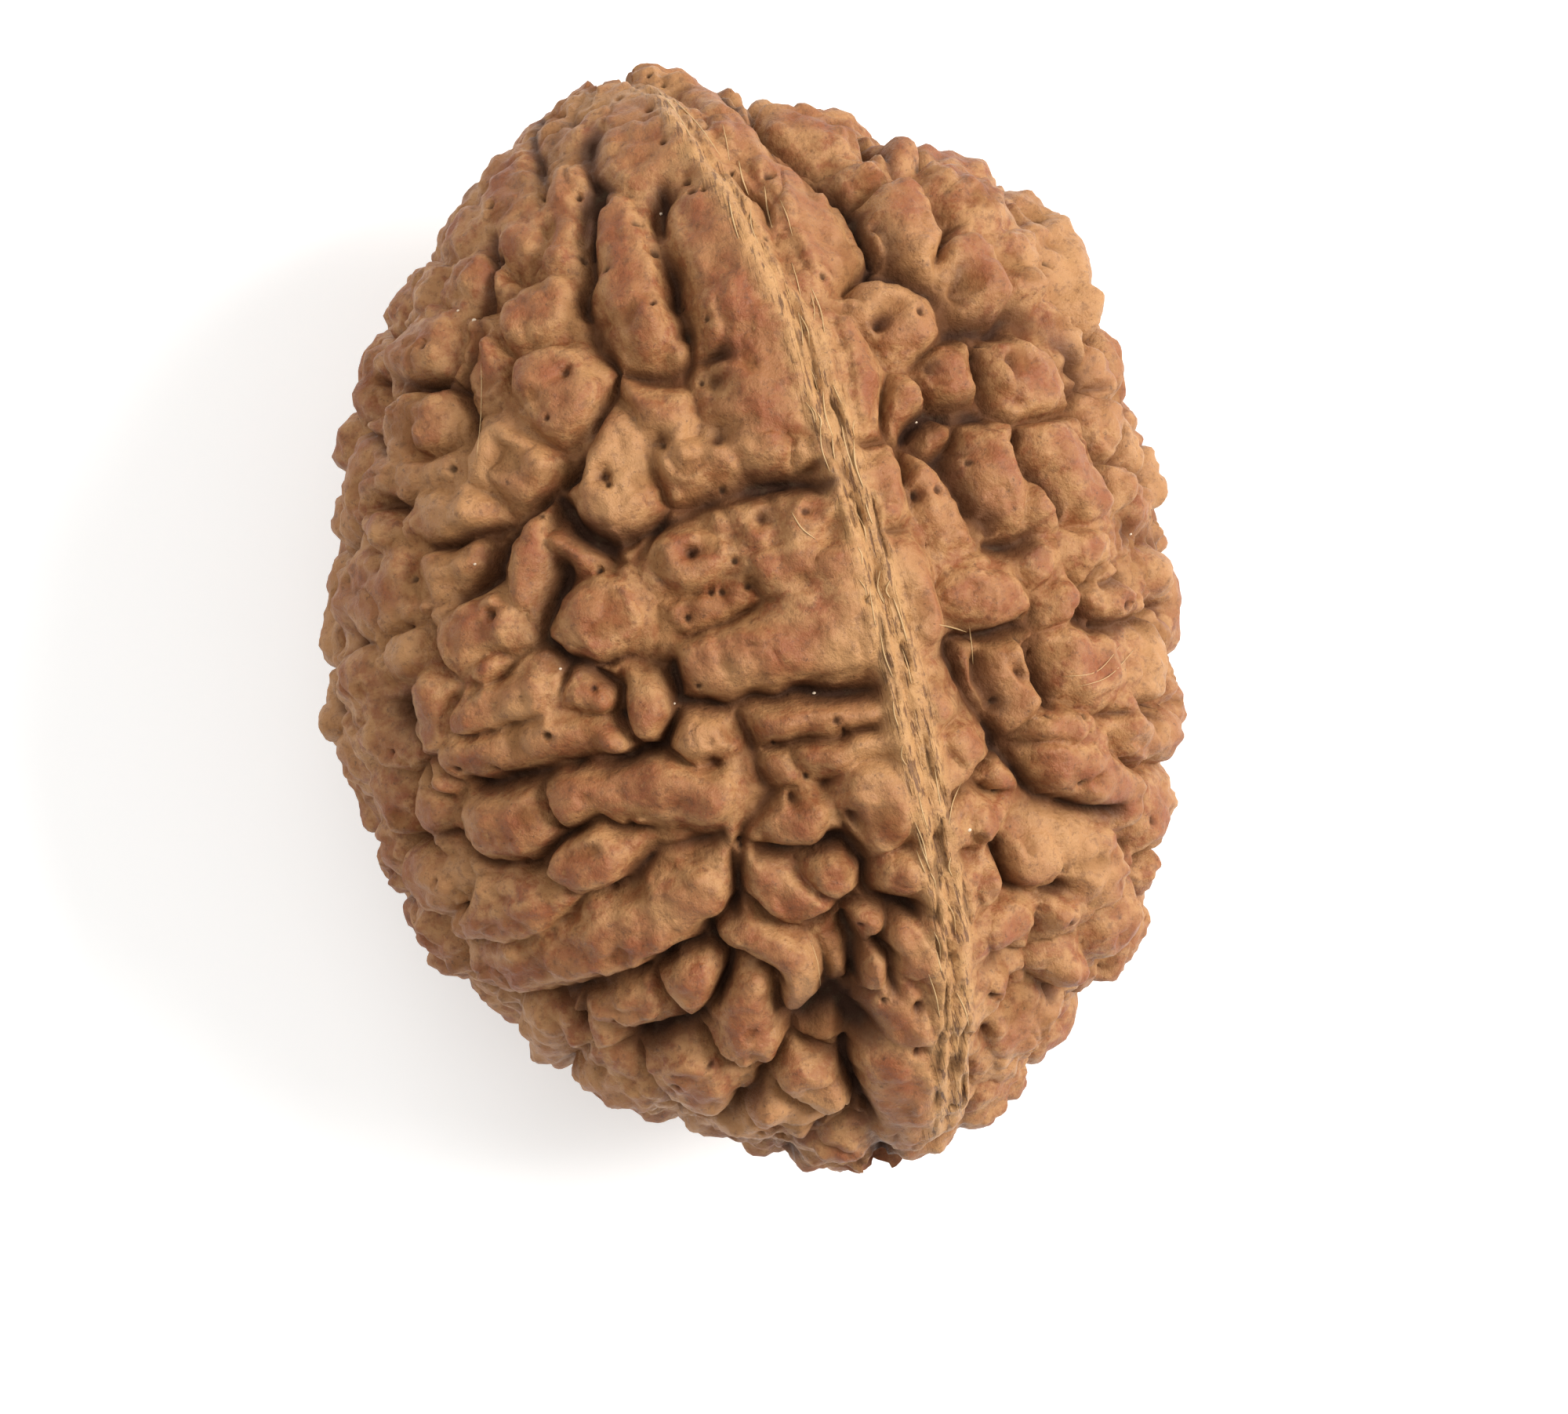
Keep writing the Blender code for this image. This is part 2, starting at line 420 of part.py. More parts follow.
def smooth_step(value, low, high):
    """0 below low, 1 above high, and a soft S between."""
    t = np.clip((value - low) / (high - low), 0.0, 1.0)
    return t * t * (3 - 2 * t)


def noise(points, cell, seed):
    """Smooth noise between -1 and 1, from seeded values on a lattice of the given cell size."""
    side = 32
    table = np.random.default_rng(seed).uniform(-1, 1, (side, side, side))
    place = points / cell
    corner = np.floor(place).astype(int)
    part = place - corner
    part = part * part * (3 - 2 * part)
    total = np.zeros(len(points))
    for step in np.ndindex(2, 2, 2):
        share = np.prod(np.where(step, part, 1 - part), axis=1)
        x, y, z = ((corner + step) % side).T
        total += share * table[x, y, z]
    return total


def outline_reach(y):
    """Half width to the left and to the right, and the mean fullness, at a place along the axis."""
    ellipse = np.sqrt(np.clip(1 - (y / HALF_LENGTH) ** 2, 0, 1))
    left = smooth_curve(y, [(row[0], row[1]) for row in OUTLINE]) * ellipse
    right = smooth_curve(y, [(row[0], row[2]) for row in OUTLINE]) * ellipse
    return HALF_WIDTH * left, HALF_WIDTH * right, (left + right) / 2


def egg_points(directions):
    """The smooth egg's surface in the given directions from its middle."""
    y = HALF_LENGTH * directions[:, 1]
    left, right, fullness = outline_reach(y)
    across = np.hypot(directions[:, 0], directions[:, 2])
    across = np.maximum(across, 1e-9)
    cosine = directions[:, 0] / across
    sine = directions[:, 2] / across
    reach_x = np.maximum(np.where(cosine > 0, right, left), 1e-9)
    reach_z = np.maximum(np.where(sine > 0, FACE_HEIGHT, BACK_DEPTH) * fullness, 1e-9)
    radius = (
        np.abs(cosine / reach_x) ** SECTION_POWER + np.abs(sine / reach_z) ** SECTION_POWER
    ) ** (-1 / SECTION_POWER)
    return np.stack([radius * cosine, y, radius * sine], axis=1)


def on_face(x, y):
    """The egg's surface where the face shows a place, which lies below the egg and so leans inwards."""
    out = np.cross(seen(x + STEP, y) - seen(x - STEP, y), seen(x, y + STEP) - seen(x, y - STEP))
    lean = LEAN * out / np.linalg.norm(out)
    return seen(x + lean[0], y + lean[1])


def seen(x, y):
    """The egg's surface straight below a place in the view from above, or its rim beside it."""
    y = float(np.clip(y, STEP - HALF_LENGTH, HALF_LENGTH - STEP))
    left, right, fullness = outline_reach(np.array([y]))
    reach = right[0] if x > 0 else left[0]
    share = min(abs(x) / reach, 1.0)
    z = FACE_HEIGHT * fullness[0] * (1 - share**SECTION_POWER) ** (1 / SECTION_POWER)
    return np.array([np.sign(x) * share * reach, y, z])


class Strokes:
    """Chains of segments in space. A single place is a segment with no length."""

    def __init__(self, chains):
        starts, ends, first = [], [], []
        for chain in chains:
            first.append(len(starts))
            for start, end in zip(chain, chain[1:] or chain):
                starts.append(start)
                ends.append(end)
        self.starts = np.array(starts)
        self.along = np.array(ends) - self.starts
        self.first = first

    def distances(self, points):
        """Distance from each point to each chain."""
        square = np.maximum((self.along**2).sum(axis=1), 1e-12)
        reach = points @ self.along.T - (self.starts * self.along).sum(axis=1)
        t = np.clip(reach / square, 0, 1)
        to_start = (
            (points**2).sum(axis=1)[:, None] - 2 * points @ self.starts.T + (self.starts**2).sum(axis=1)
        )
        away = to_start - 2 * t * reach + t * t * square
        return np.sqrt(np.maximum(np.minimum.reduceat(away, self.first, axis=1), 0))


def face_lobes():
    """The lobes listed on the face, as (radius, sink, spine in space)."""
    listed = (
        STALK_END_LOBES + LEFT_UPPER_LOBES + LEFT_MIDDLE_LOBES + LEFT_LOWER_LOBES
        + RIGHT_UPPER_LOBES + RIGHT_LOWER_LOBES
    )
    return [(radius, sink, [on_face(*place) for place in spine]) for radius, sink, *spine in listed]


def fill_lobes(lobes):
    """Drop seeded lobes over the egg wherever they find room beside those already there."""
    rng = np.random.default_rng(FILL_SEED)
    for _ in range(FILL_TRIES):
        direction = rng.normal(size=3)
        turn = rng.normal(size=3)
        radius = rng.uniform(*FILL_RADIUS)
        stretch = rng.uniform(0, FILL_STRETCH)
        sink = rng.uniform(0, FILL_SINK)
        direction /= np.linalg.norm(direction)
        ahead = direction + turn * stretch / HALF_WIDTH / np.linalg.norm(turn)
        spine = list(egg_points(np.array([direction, ahead / np.linalg.norm(ahead)])))
        if room_for(spine, radius, lobes) and not on_keel(spine, radius):
            lobes.append((radius, sink, spine))
    return lobes


def room_for(spine, radius, lobes):
    """Whether a lobe of this radius along the spine clears its neighbours but for a small overlap."""
    middle = (spine[0] + spine[1]) / 2
    tests = np.array([spine[0], middle, spine[1]])
    for other_radius, _, other in lobes:
        if np.linalg.norm(other[0] - middle) > FILL_NEAR:
            continue
        gap = Strokes([other]).distances(tests).min()
        if gap < radius + other_radius - FILL_OVERLAP:
            return False
    return True


def on_keel(spine, radius):
    """Whether the spine runs onto either keel's band."""
    places = np.array(spine)
    side = np.where(places[:, 2] > 0, 1.0, -1.0)
    offset = side * places[:, 0] - smooth_curve(places[:, 1], KEEL_LINE)
    near = (offset > KEEL_BAND[0] - radius) & (offset < KEEL_BAND[1] + radius)
    return bool(np.any(near & (np.abs(places[:, 2]) > KEEL_RIM)))


def keel_height(points):
    """Height of the two keels, and how much of each point is bare keel band."""
    face = points[:, 2] > 0
    side = np.where(face, 1.0, -1.0)
    share = np.where(face, 1.0, BACK_KEEL_SHARE)
    offset = side * points[:, 0] - smooth_curve(points[:, 1], KEEL_LINE)
    offset += KEEL_WANDER * noise(points, KEEL_WANDER_CELL, KEEL_SEED)
    height = smooth_curve(offset, KEEL_SECTION)
    groove = KEEL_GROOVE_DEPTH * np.exp(-(((offset - KEEL_GROOVE_OFFSET) / KEEL_GROOVE_WIDTH) ** 2))
    upright = smooth_step(np.abs(points[:, 2]), *KEEL_RISE)
    ends = smooth_step(HALF_LENGTH - np.abs(points[:, 1]), 0.0, KEEL_END_FADE)
    low, high = KEEL_BAND
    outer, inner = KEEL_BAND_SOFT
    high = high - KEEL_BAND_TAPER * smooth_step(points[:, 1], *KEEL_BAND_TAPER_OVER)
    band = smooth_step(offset, low - outer, low + inner)
    band *= 1 - smooth_step(offset - high, -inner, outer)
    return share * (height - groove) * upright * ends, KEEL_BAND_CALM * band * upright


def lobe_relief(points, lobes):
    """How far each point lies below the lobes' tops, as a negative height."""
    radii = np.array([lobe[0] for lobe in lobes])
    sinks = np.array([lobe[1] for lobe in lobes])
    drops = LOBE_DROP + LOBE_DROP_PER_RADIUS * radii
    strokes = Strokes([lobe[2] for lobe in lobes])
    height = np.empty(len(points))
    between = np.empty(len(points))
    for start in range(0, len(points), CHUNK):
        part = slice(start, start + CHUNK)
        outside = strokes.distances(points[part]) - radii
        nearest = np.partition(outside, 1, axis=1)[:, :2]
        weight = np.exp((nearest[:, :1] - outside) / LOBE_BLEND)
        out = np.clip(1 + outside / radii, 0, LOBE_RIM)
        dome = drops * (1 - np.sqrt(1 - LOBE_ROUNDNESS * out**3)) + sinks
        height[part] = -(weight * dome).sum(axis=1) / weight.sum(axis=1)
        between[part] = nearest[:, 1] - nearest[:, 0]
    border = between / 2
    fading = smooth_step(noise(points, CREASE_CELL, CREASE_SEED), *CREASE_FADE)
    crease = CREASE_DEPTH * (CREASE_LEAST + (1 - CREASE_LEAST) * fading)
    shoulder = SHOULDER_DEPTH * np.exp(-border / SHOULDER_WIDTH)
    return height - shoulder - crease * np.exp(-((border / CREASE_WIDTH) ** 2))


def carved(points, marks):
    """Depth of the deepest of some crevices or pits at each point."""
    depths = np.array([mark[0] for mark in marks])
    widths = np.array([mark[1] for mark in marks])
    strokes = Strokes([[on_face(*place) for place in mark[2:]] for mark in marks])
    opening = 1 + OPENING * noise(points, OPENING_CELL, OPENING_SEED)
    depth = np.empty(len(points))
    for start in range(0, len(points), CHUNK):
        part = slice(start, start + CHUNK)
        away = strokes.distances(points[part]) / widths / opening[part, None]
        depth[part] = (depths * valley(away)).max(axis=1)
    return depth * np.sqrt(opening)


def valley(away):
    """Section of a crevice: a narrow cut between wide soft flanks, by half widths from its middle."""
    cut = np.exp(-((away / CUT_WIDTH) ** 2))
    return CUT_SHARE * cut + (1 - CUT_SHARE) * np.exp(-((away / FLANK_WIDTH) ** 2))


def warped(points):
    """The points pushed about a little, so that lobes and crevices wander."""
    push = np.stack([noise(points, WARP_CELL, seed) for seed in WARP_SEEDS], axis=1)
    fine = np.stack([noise(points, FINE_WARP_CELL, seed) for seed in FINE_WARP_SEEDS], axis=1)
    return points + WARP * push + FINE_WARP * fine


def tip_share(points):
    """How much of the relief stands near the two tips."""
    from_stalk = np.hypot(points[:, 0] - CONE_TIP[0], points[:, 1] - CONE_TIP[1])
    stalk = CONE_SHARE + (1 - CONE_SHARE) * smooth_step(from_stalk, *CONE_FADE)
    foot = FOOT_SHARE + (1 - FOOT_SHARE) * smooth_step(HALF_LENGTH + points[:, 1], *FOOT_FADE)
    return np.minimum(stalk, foot)


def surface_height(points):
    """Height of the bead's surface over the egg, in millimetres along the egg's normals."""
    wandering = warped(points)
    keel, band = keel_height(points)
    relief = lobe_relief(wandering, fill_lobes(face_lobes()))
    relief *= 1 - np.clip(carved(wandering, MERGES), 0, 1)
    relief -= np.maximum(carved(wandering, CREVICES), carved(wandering, PITS))
    relief += SWELL * noise(points, SWELL_CELL, SWELL_SEED)
    relief = -FLOOR_DEPTH * np.tanh(-relief / FLOOR_DEPTH)
    from_spot = np.hypot(points[:, 0] - REST_SPOT[0], points[:, 1] - REST_SPOT[1])
    spot = smooth_step(from_spot, REST_SPOT_RADIUS, REST_SPOT_RADIUS + REST_SPOT_FADE)
    lying = np.where(points[:, 2] < 0, spot, 1.0)
    return keel + relief * (1 - band) * tip_share(points) * lying


def vertex_places(mesh, kind="vertices"):
    """Vertex coordinates or normals of a mesh as an array."""
    values = np.empty(len(mesh.vertices) * 3)
    if kind == "vertices":
        mesh.vertices.foreach_get("co", values)
    else:
        mesh.vertex_normals.foreach_get("vector", values)
    return values.reshape(-1, 3)


def place_vertices(mesh, places):
    """Move a mesh's vertices."""
    mesh.vertices.foreach_set("co", places.ravel())
    mesh.update()


def fine_bead_mesh():
    """A fine ball of triangles shaped into the egg and raised by the surface height."""
    work = bmesh.new()
    bmesh.ops.create_icosphere(work, subdivisions=SPHERE_SUBDIVISIONS, radius=1.0)
    mesh = bpy.data.meshes.new("bead")
    work.to_mesh(mesh)
    work.free()
    directions = vertex_places(mesh)
    directions /= np.linalg.norm(directions, axis=1)[:, None]
    egg = egg_points(directions)
    place_vertices(mesh, egg)
    normals = vertex_places(mesh, "normals")
    raised = egg + normals * surface_height(egg)[:, None]
    place_vertices(mesh, raised * MM)
    return mesh


def cutter(name, mesh_builder, collection):
    """A hidden solid that the bead is cut with."""
    mesh = bpy.data.meshes.new(name)
    work = bmesh.new()
    mesh_builder(work)
    work.to_mesh(mesh)
    work.free()
    tool = bpy.data.objects.new(name, mesh)
    tool.hide_render = True
    tool.display_type = "WIRE"
    collection.objects.link(tool)


def channel_shape(work):
    """The stringing channel, a long rod along Y."""
    lie_along_y = Matrix.Rotation(np.pi / 2, 4, "X")
    move = Matrix.Translation((CHANNEL_X * MM, 0, 0))
    bmesh.ops.create_cone(
        work, cap_ends=True, segments=CHANNEL_SIDES, radius1=CHANNEL_DIAMETER / 2 * MM,
        radius2=CHANNEL_DIAMETER / 2 * MM, depth=3 * HALF_LENGTH * MM, matrix=move @ lie_along_y,
    )


def bench_shape(work):
    """The slab below the bead, whose top takes the flat resting spot off its back."""
    size = 4 * HALF_WIDTH * MM
    bmesh.ops.create_cube(
        work, size=size, matrix=Matrix.Translation((0, 0, -REST_DEPTH * MM - size / 2))
    )


def cut_away(bead):
    """Cut the stringing channel and the resting spot out of the bead."""
    cutters = bpy.data.collections.new("cutters")
    bpy.context.scene.collection.children.link(cutters)
    cutter("channel_cutter", channel_shape, cutters)
    cutter("bench_cutter", bench_shape, cutters)
    cut = bead.modifiers.new("channel and resting spot", "BOOLEAN")
    cut.operation = "DIFFERENCE"
    cut.operand_type = "COLLECTION"
    cut.collection = cutters
    return cutters


def thin_out(bead):
    """Keep only as many triangles as the solid needs."""
    fewer = bead.modifiers.new("fewer triangles", "DECIMATE")
    fewer.ratio = SOLID_TRIANGLES / len(bead.data.polygons)


def stand_on_origin(bead, cutters):
    """Put the origin at the middle of the bead's box, on the surface it lies on."""
    evaluated = bead.evaluated_get(bpy.context.evaluated_depsgraph_get())
    places = vertex_places(evaluated.data)
    low, high = places.min(axis=0), places.max(axis=0)
    shift = (-(low[0] + high[0]) / 2, -(low[1] + high[1]) / 2, -low[2])
    for item in (bead, *cutters.objects):
        item.location = shift


def woody_material():
    """Plain brown wood."""
    material = bpy.data.materials.new("bead_wood")
    material.use_nodes = True
    shader = material.node_tree.nodes["Principled BSDF"]
    shader.inputs["Base Color"].default_value = BEAD_COLOR
    shader.inputs["Roughness"].default_value = BEAD_ROUGHNESS
    shader.inputs["Metallic"].default_value = 0.0
    return material


def build_bead():
    """The bead, cut and standing on its origin."""
    mesh = fine_bead_mesh()
    mesh.materials.append(woody_material())
    mesh.shade_smooth()
    bead = bpy.data.objects.new("bead", mesh)
    bpy.context.scene.collection.objects.link(bead)
    thin_out(bead)
    cutters = cut_away(bead)
    bpy.context.view_layer.update()
    stand_on_origin(bead, cutters)
    return bead


clear_scene()
build_bead()
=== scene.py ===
"""The looks of a rudraksha bead lying on its back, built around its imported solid.

The stone is one piece. Its surface is a height over a smooth egg: two keels, lobes packed beside them,
creases, crevices and pits, as in the solid, and over them the finer things that only the eye needs:
strands along the keels, striations on the stalk's cone, wrinkles, dents, pores and grain. Thin dry fibres
and a few bright grains cling to it.

Places on the face are (x, y) pairs in millimetres, seen from above, measured from the middle of the egg.
+Y runs to the stalk end, +X to the right and +Z up out of the face.
"""

import logging
import math
from collections.abc import Iterator
from dataclasses import dataclass, field
from enum import Enum

import bmesh
import bpy
import numpy as np
from mathutils import Matrix, Vector
from mathutils.bvhtree import BVHTree


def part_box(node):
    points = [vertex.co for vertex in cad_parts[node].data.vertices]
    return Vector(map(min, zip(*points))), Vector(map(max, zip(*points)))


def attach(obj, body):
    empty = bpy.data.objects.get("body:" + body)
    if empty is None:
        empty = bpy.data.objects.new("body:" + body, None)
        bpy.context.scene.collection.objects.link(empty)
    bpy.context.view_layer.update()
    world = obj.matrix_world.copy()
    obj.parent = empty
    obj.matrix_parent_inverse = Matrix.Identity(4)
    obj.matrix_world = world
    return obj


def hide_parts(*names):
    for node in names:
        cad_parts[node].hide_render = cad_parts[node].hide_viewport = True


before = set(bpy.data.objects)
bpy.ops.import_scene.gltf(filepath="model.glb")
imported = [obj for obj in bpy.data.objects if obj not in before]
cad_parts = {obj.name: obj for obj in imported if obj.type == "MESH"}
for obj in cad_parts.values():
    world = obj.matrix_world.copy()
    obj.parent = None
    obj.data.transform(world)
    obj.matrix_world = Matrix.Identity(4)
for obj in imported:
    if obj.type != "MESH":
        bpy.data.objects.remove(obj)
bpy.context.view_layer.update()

log = logging.getLogger("bead")

MM = 0.001
NODE = "bead"
BODY = "root"
TINY = 1e-9

Color = tuple[float, float, float, float]
Knots = tuple[tuple[float, float], ...]
Chain = list[np.ndarray]
Span = tuple[float, float]
Fade = tuple[float, float, float]


class Detail(Enum):
    """How fine the stone's mesh is: subdivisions of the ball, and triangles kept at the end."""

    TRIAL = (8, 150_000)
    FINAL = (9, 197_000)

    @property
    def subdivisions(self) -> int:
        """Subdivisions of the ball that the stone is shaped from."""
        return self.value[0]

    @property
    def triangles(self) -> int:
        """Triangles kept in the finished stone."""
        return self.value[1]


# Fullness of the outline against a true ellipse: (y, left side, right side)
OUTLINE = (
    (-17.0, 0.68, 0.80), (-16.0, 0.76, 0.88), (-14.0, 0.90, 0.88), (-12.0, 0.95, 0.97),
    (-9.0, 0.99, 0.96), (-6.0, 1.03, 0.98), (-3.0, 1.01, 0.96), (0.0, 1.03, 0.985),
    (3.0, 0.99, 0.99), (7.0, 0.95, 1.04), (10.0, 0.94, 1.08), (12.0, 0.895, 1.02),
    (13.0, 0.86, 0.94), (14.0, 0.83, 0.90), (16.0, 0.66, 0.62), (17.0, 0.56, 0.52),
)

# The keel's crest on the face, as (y, x), and its section: (offset to the right, height)
KEEL_LINE = (
    (-17.0, 0.2), (-16.2, 1.1), (-15.0, 1.6), (-13.5, 2.0), (-12.0, 2.35), (-11.0, 2.6), (-9.5, 2.85),
    (-8.0, 2.95), (-6.0, 3.05), (-3.0, 3.1), (0.0, 3.15), (3.0, 3.05), (6.0, 2.9), (8.5, 2.75),
    (10.0, 2.35), (11.0, 2.1), (12.0, 1.85), (13.0, 1.5), (14.2, 1.1), (15.2, 0.8), (16.3, 0.1),
    (17.0, -0.3),
)
KEEL_SECTION = (
    (-6.0, 0.0), (-4.6, 0.08), (-2.0, 0.42), (-0.3, 0.75), (0.0, 0.85), (0.4, 0.75), (1.0, 0.6),
    (1.8, 0.3), (2.7, -0.25), (3.8, -0.15), (5.0, 0.0),
)

# Lobes on the face: (radius, how far the top is sunk, places along the lobe's spine)
STALK_END_LOBES = (
    (1.1, 0.0, (-0.9, 16.2), (-2.0, 14.9)),
    (1.1, 0.0, (0.1, 15.4), (0.0, 13.3)),
    (0.45, 0.05, (-2.2, 13.8), (-2.7, 12.2), (-3.1, 11.4)),
    (1.1, 0.0, (-3.9, 14.3), (-3.9, 13.3)),
    (0.8, 0.05, (-3.9, 12.1)),
    (0.9, 0.05, (-5.4, 13.1)),
    (0.8, 0.05, (-7.0, 11.7)),
    (0.75, 0.15, (-5.8, 11.6), (-5.1, 11.5)),
    (0.95, 0.1, (2.2, 15.4), (2.9, 13.9), (3.5, 12.8), (4.2, 11.6), (4.5, 10.4), (4.6, 9.8)),
    (0.5, 0.1, (3.4, 15.0)),
    (1.15, 0.0, (4.6, 13.9), (5.5, 13.3)),
    (0.55, 0.05, (6.3, 11.6)),
    (0.8, 0.0, (7.2, 12.1)),
)
LEFT_UPPER_LOBES = (
    (0.85, 0.0, (-1.3, 11.9), (-1.1, 8.8)),
    (0.9, 0.0, (-4.3, 10.2), (-3.5, 10.3)),
    (1.1, 0.0, (-4.2, 8.3), (-3.8, 7.4)),
    (0.6, 0.35, (-5.9, 10.0), (-5.8, 8.6)),
    (1.1, 0.0, (-7.8, 9.9), (-7.3, 10.0)),
    (0.75, 0.05, (-9.3, 10.1)),
    (0.95, 0.0, (-8.5, 7.9), (-7.8, 7.8)),
    (0.85, 0.0, (-10.1, 7.9)),
    (0.45, 0.0, (-9.9, 6.5), (-7.5, 6.5)),
    (1.0, 0.0, (-6.2, 6.2), (-5.6, 5.8)),
    (0.75, 0.0, (-8.3, 5.1), (-7.1, 5.0)),
    (0.6, 0.05, (-8.6, 3.7), (-7.6, 3.6)),
    (0.85, 0.0, (-11.0, 5.7)),
    (0.5, 0.1, (-9.9, 5.2)),
    (1.2, 0.0, (-11.3, 3.6), (-10.1, 3.2)),
    (1.05, 0.0, (-2.9, 6.2), (-3.3, 4.2)),
    (0.4, 0.1, (-2.0, 7.1), (-1.5, 6.5), (-0.8, 5.9)),
    (0.7, 0.1, (-1.0, 4.9), (0.3, 4.9)),
    (1.2, 0.0, (1.5, 11.2), (1.6, 8.6), (1.6, 5.3)),
)
LEFT_MIDDLE_LOBES = (
    (1.0, 0.0, (-1.4, 2.15)),
    (1.25, 0.0, (-4.4, 1.2)),
    (0.5, 0.0, (-4.9, 3.7), (-4.4, 2.8)),
    (0.5, 0.0, (-5.5, 4.2), (-5.9, 3.0), (-6.4, 2.2)),
    (0.85, 0.0, (-8.4, 1.5), (-7.3, 1.7)),
    (0.45, 0.0, (-7.9, 0.5)),
    (0.65, 0.0, (-8.8, -0.8), (-7.0, -0.5)),
    (0.6, 0.0, (-9.6, 0.1), (-9.8, -0.9)),
    (0.8, 0.05, (-10.2, 1.3)),
    (0.75, 0.05, (-11.6, 1.0)),
    (0.7, 0.0, (-12.6, 0.0)),
    (0.75, 0.0, (-12.4, -1.0)),
    (0.75, 0.1, (-11.2, -1.0)),
    (0.95, 0.0, (-11.5, -2.6)),
    (0.5, 0.0, (-12.7, -2.0), (-12.6, -2.8)),
    (0.4, 0.1, (-10.0, -2.6)),
    (0.6, 0.0, (-9.4, -2.0), (-7.2, -2.0), (-4.9, -2.4)),
    (0.65, 0.0, (-5.2, -1.1)),
    (0.85, 0.0, (-3.8, -1.8)),
    (0.5, 0.1, (0.6, 2.3)),
    (0.7, 0.0, (2.2, 2.4)),
    (0.6, 0.1, (0.7, 1.3), (2.6, 1.0)),
    (0.5, 0.8, (-2.1, 0.6), (-0.6, 0.6)),
    (1.05, 0.0, (-1.7, -0.9), (2.4, -1.1)),
    (0.7, 0.1, (-2.4, -3.1)),
    (0.9, 0.0, (-6.4, -3.8), (-4.5, -4.1), (-2.7, -4.8)),
    (1.0, 0.0, (-9.0, -4.0), (-7.9, -4.2)),
    (1.1, 0.0, (-11.2, -5.0), (-10.9, -5.6)),
    (0.8, 0.0, (-6.8, -5.7), (-6.0, -5.8)),
    (0.5, 0.1, (-0.4, -3.2), (2.5, -3.3)),
    (0.4, 0.15, (0.6, -4.35), (2.7, -4.4)),
    (0.6, 0.45, (-0.5, -4.5)),
    (0.9, 0.15, (-0.3, -6.0)),
    (0.75, 0.0, (1.9, -5.6), (2.1, -6.6)),
)
LEFT_LOWER_LOBES = (
    (0.6, 0.0, (-10.2, -6.6), (-7.9, -6.7)),
    (0.7, 0.0, (-11.4, -7.5)),
    (0.9, 0.0, (-9.8, -8.1), (-7.5, -8.2), (-5.3, -8.0), (-3.6, -7.4)),
    (0.5, 0.6, (-4.1, -6.2)),
    (0.7, 0.1, (-1.4, -7.5), (-0.9, -8.3)),
    (0.75, 0.0, (0.2, -7.6)),
    (0.65, 0.0, (2.2, -8.1)),
    (0.9, 0.0, (-9.0, -10.0), (-8.9, -10.9)),
    (0.6, 0.25, (-7.1, -10.1), (-5.9, -10.2)),
    (0.85, 0.0, (-4.4, -9.9)),
    (0.95, 0.0, (-7.9, -11.8), (-7.0, -12.4)),
    (0.95, 0.0, (-4.9, -12.5), (-4.7, -13.2)),
    (0.85, 0.2, (-5.2, -14.3), (-3.8, -14.4)),
    (0.55, 0.0, (-2.5, -8.8), (-1.7, -9.4), (-1.2, -10.1), (-1.2, -10.8), (-1.7, -11.3)),
    (0.95, 0.0, (-3.0, -10.9), (-3.1, -12.0)),
    (0.35, 0.8, (-0.2, -9.4), (-0.3, -10.8)),
    (0.55, 0.0, (1.0, -9.2)),
    (0.55, 0.0, (1.7, -9.7), (2.0, -10.7)),
    (0.55, 0.15, (0.7, -10.7)),
    (0.75, 0.0, (1.2, -11.6), (1.3, -12.3)),
    (0.95, 0.0, (0.8, -13.1), (0.8, -14.1), (0.7, -15.5)),
    (0.5, 1.1, (-1.0, -12.3)),
    (0.85, 0.0, (-2.0, -13.3), (-1.6, -13.8)),
    (0.85, 0.0, (-1.3, -15.6)),
    (0.7, 0.1, (-3.2, -15.7)),
)
RIGHT_UPPER_LOBES = (
    (0.95, 0.0, (7.0, 10.8), (7.2, 9.7)),
    (0.95, 0.0, (8.6, 11.1), (9.2, 10.4)),
    (1.0, 0.0, (10.9, 9.7), (11.3, 8.2), (11.4, 6.6)),
    (0.95, 0.0, (8.7, 8.7), (8.8, 7.7)),
    (0.45, 0.1, (9.9, 8.9)),
    (0.5, 0.1, (9.9, 7.5)),
    (1.15, 0.0, (5.8, 8.1), (6.5, 7.4)),
    (0.85, 0.0, (7.3, 5.9), (7.3, 5.4)),
    (0.6, 0.15, (5.8, 5.1)),
    (0.45, 0.1, (4.7, 7.6), (4.65, 5.2)),
    (1.05, 0.0, (9.1, 5.3), (9.6, 4.8)),
    (0.85, 0.0, (11.4, 4.7)),
    (0.4, 0.5, (6.6, 3.9)),
    (0.6, 0.05, (4.55, 3.3), (4.6, 2.2)),
    (0.65, 0.0, (5.7, 2.7), (6.1, 1.1)),
    (1.0, 0.0, (7.6, 2.8), (7.7, 1.7)),
    (0.45, 0.0, (8.7, 1.0)),
    (0.95, 0.0, (9.7, 2.6), (10.2, 1.3)),
    (0.75, 0.0, (11.3, 3.1)),
    (0.5, 0.1, (11.3, 1.1)),
    (0.7, 0.0, (12.4, 1.7), (12.3, 0.9)),
)
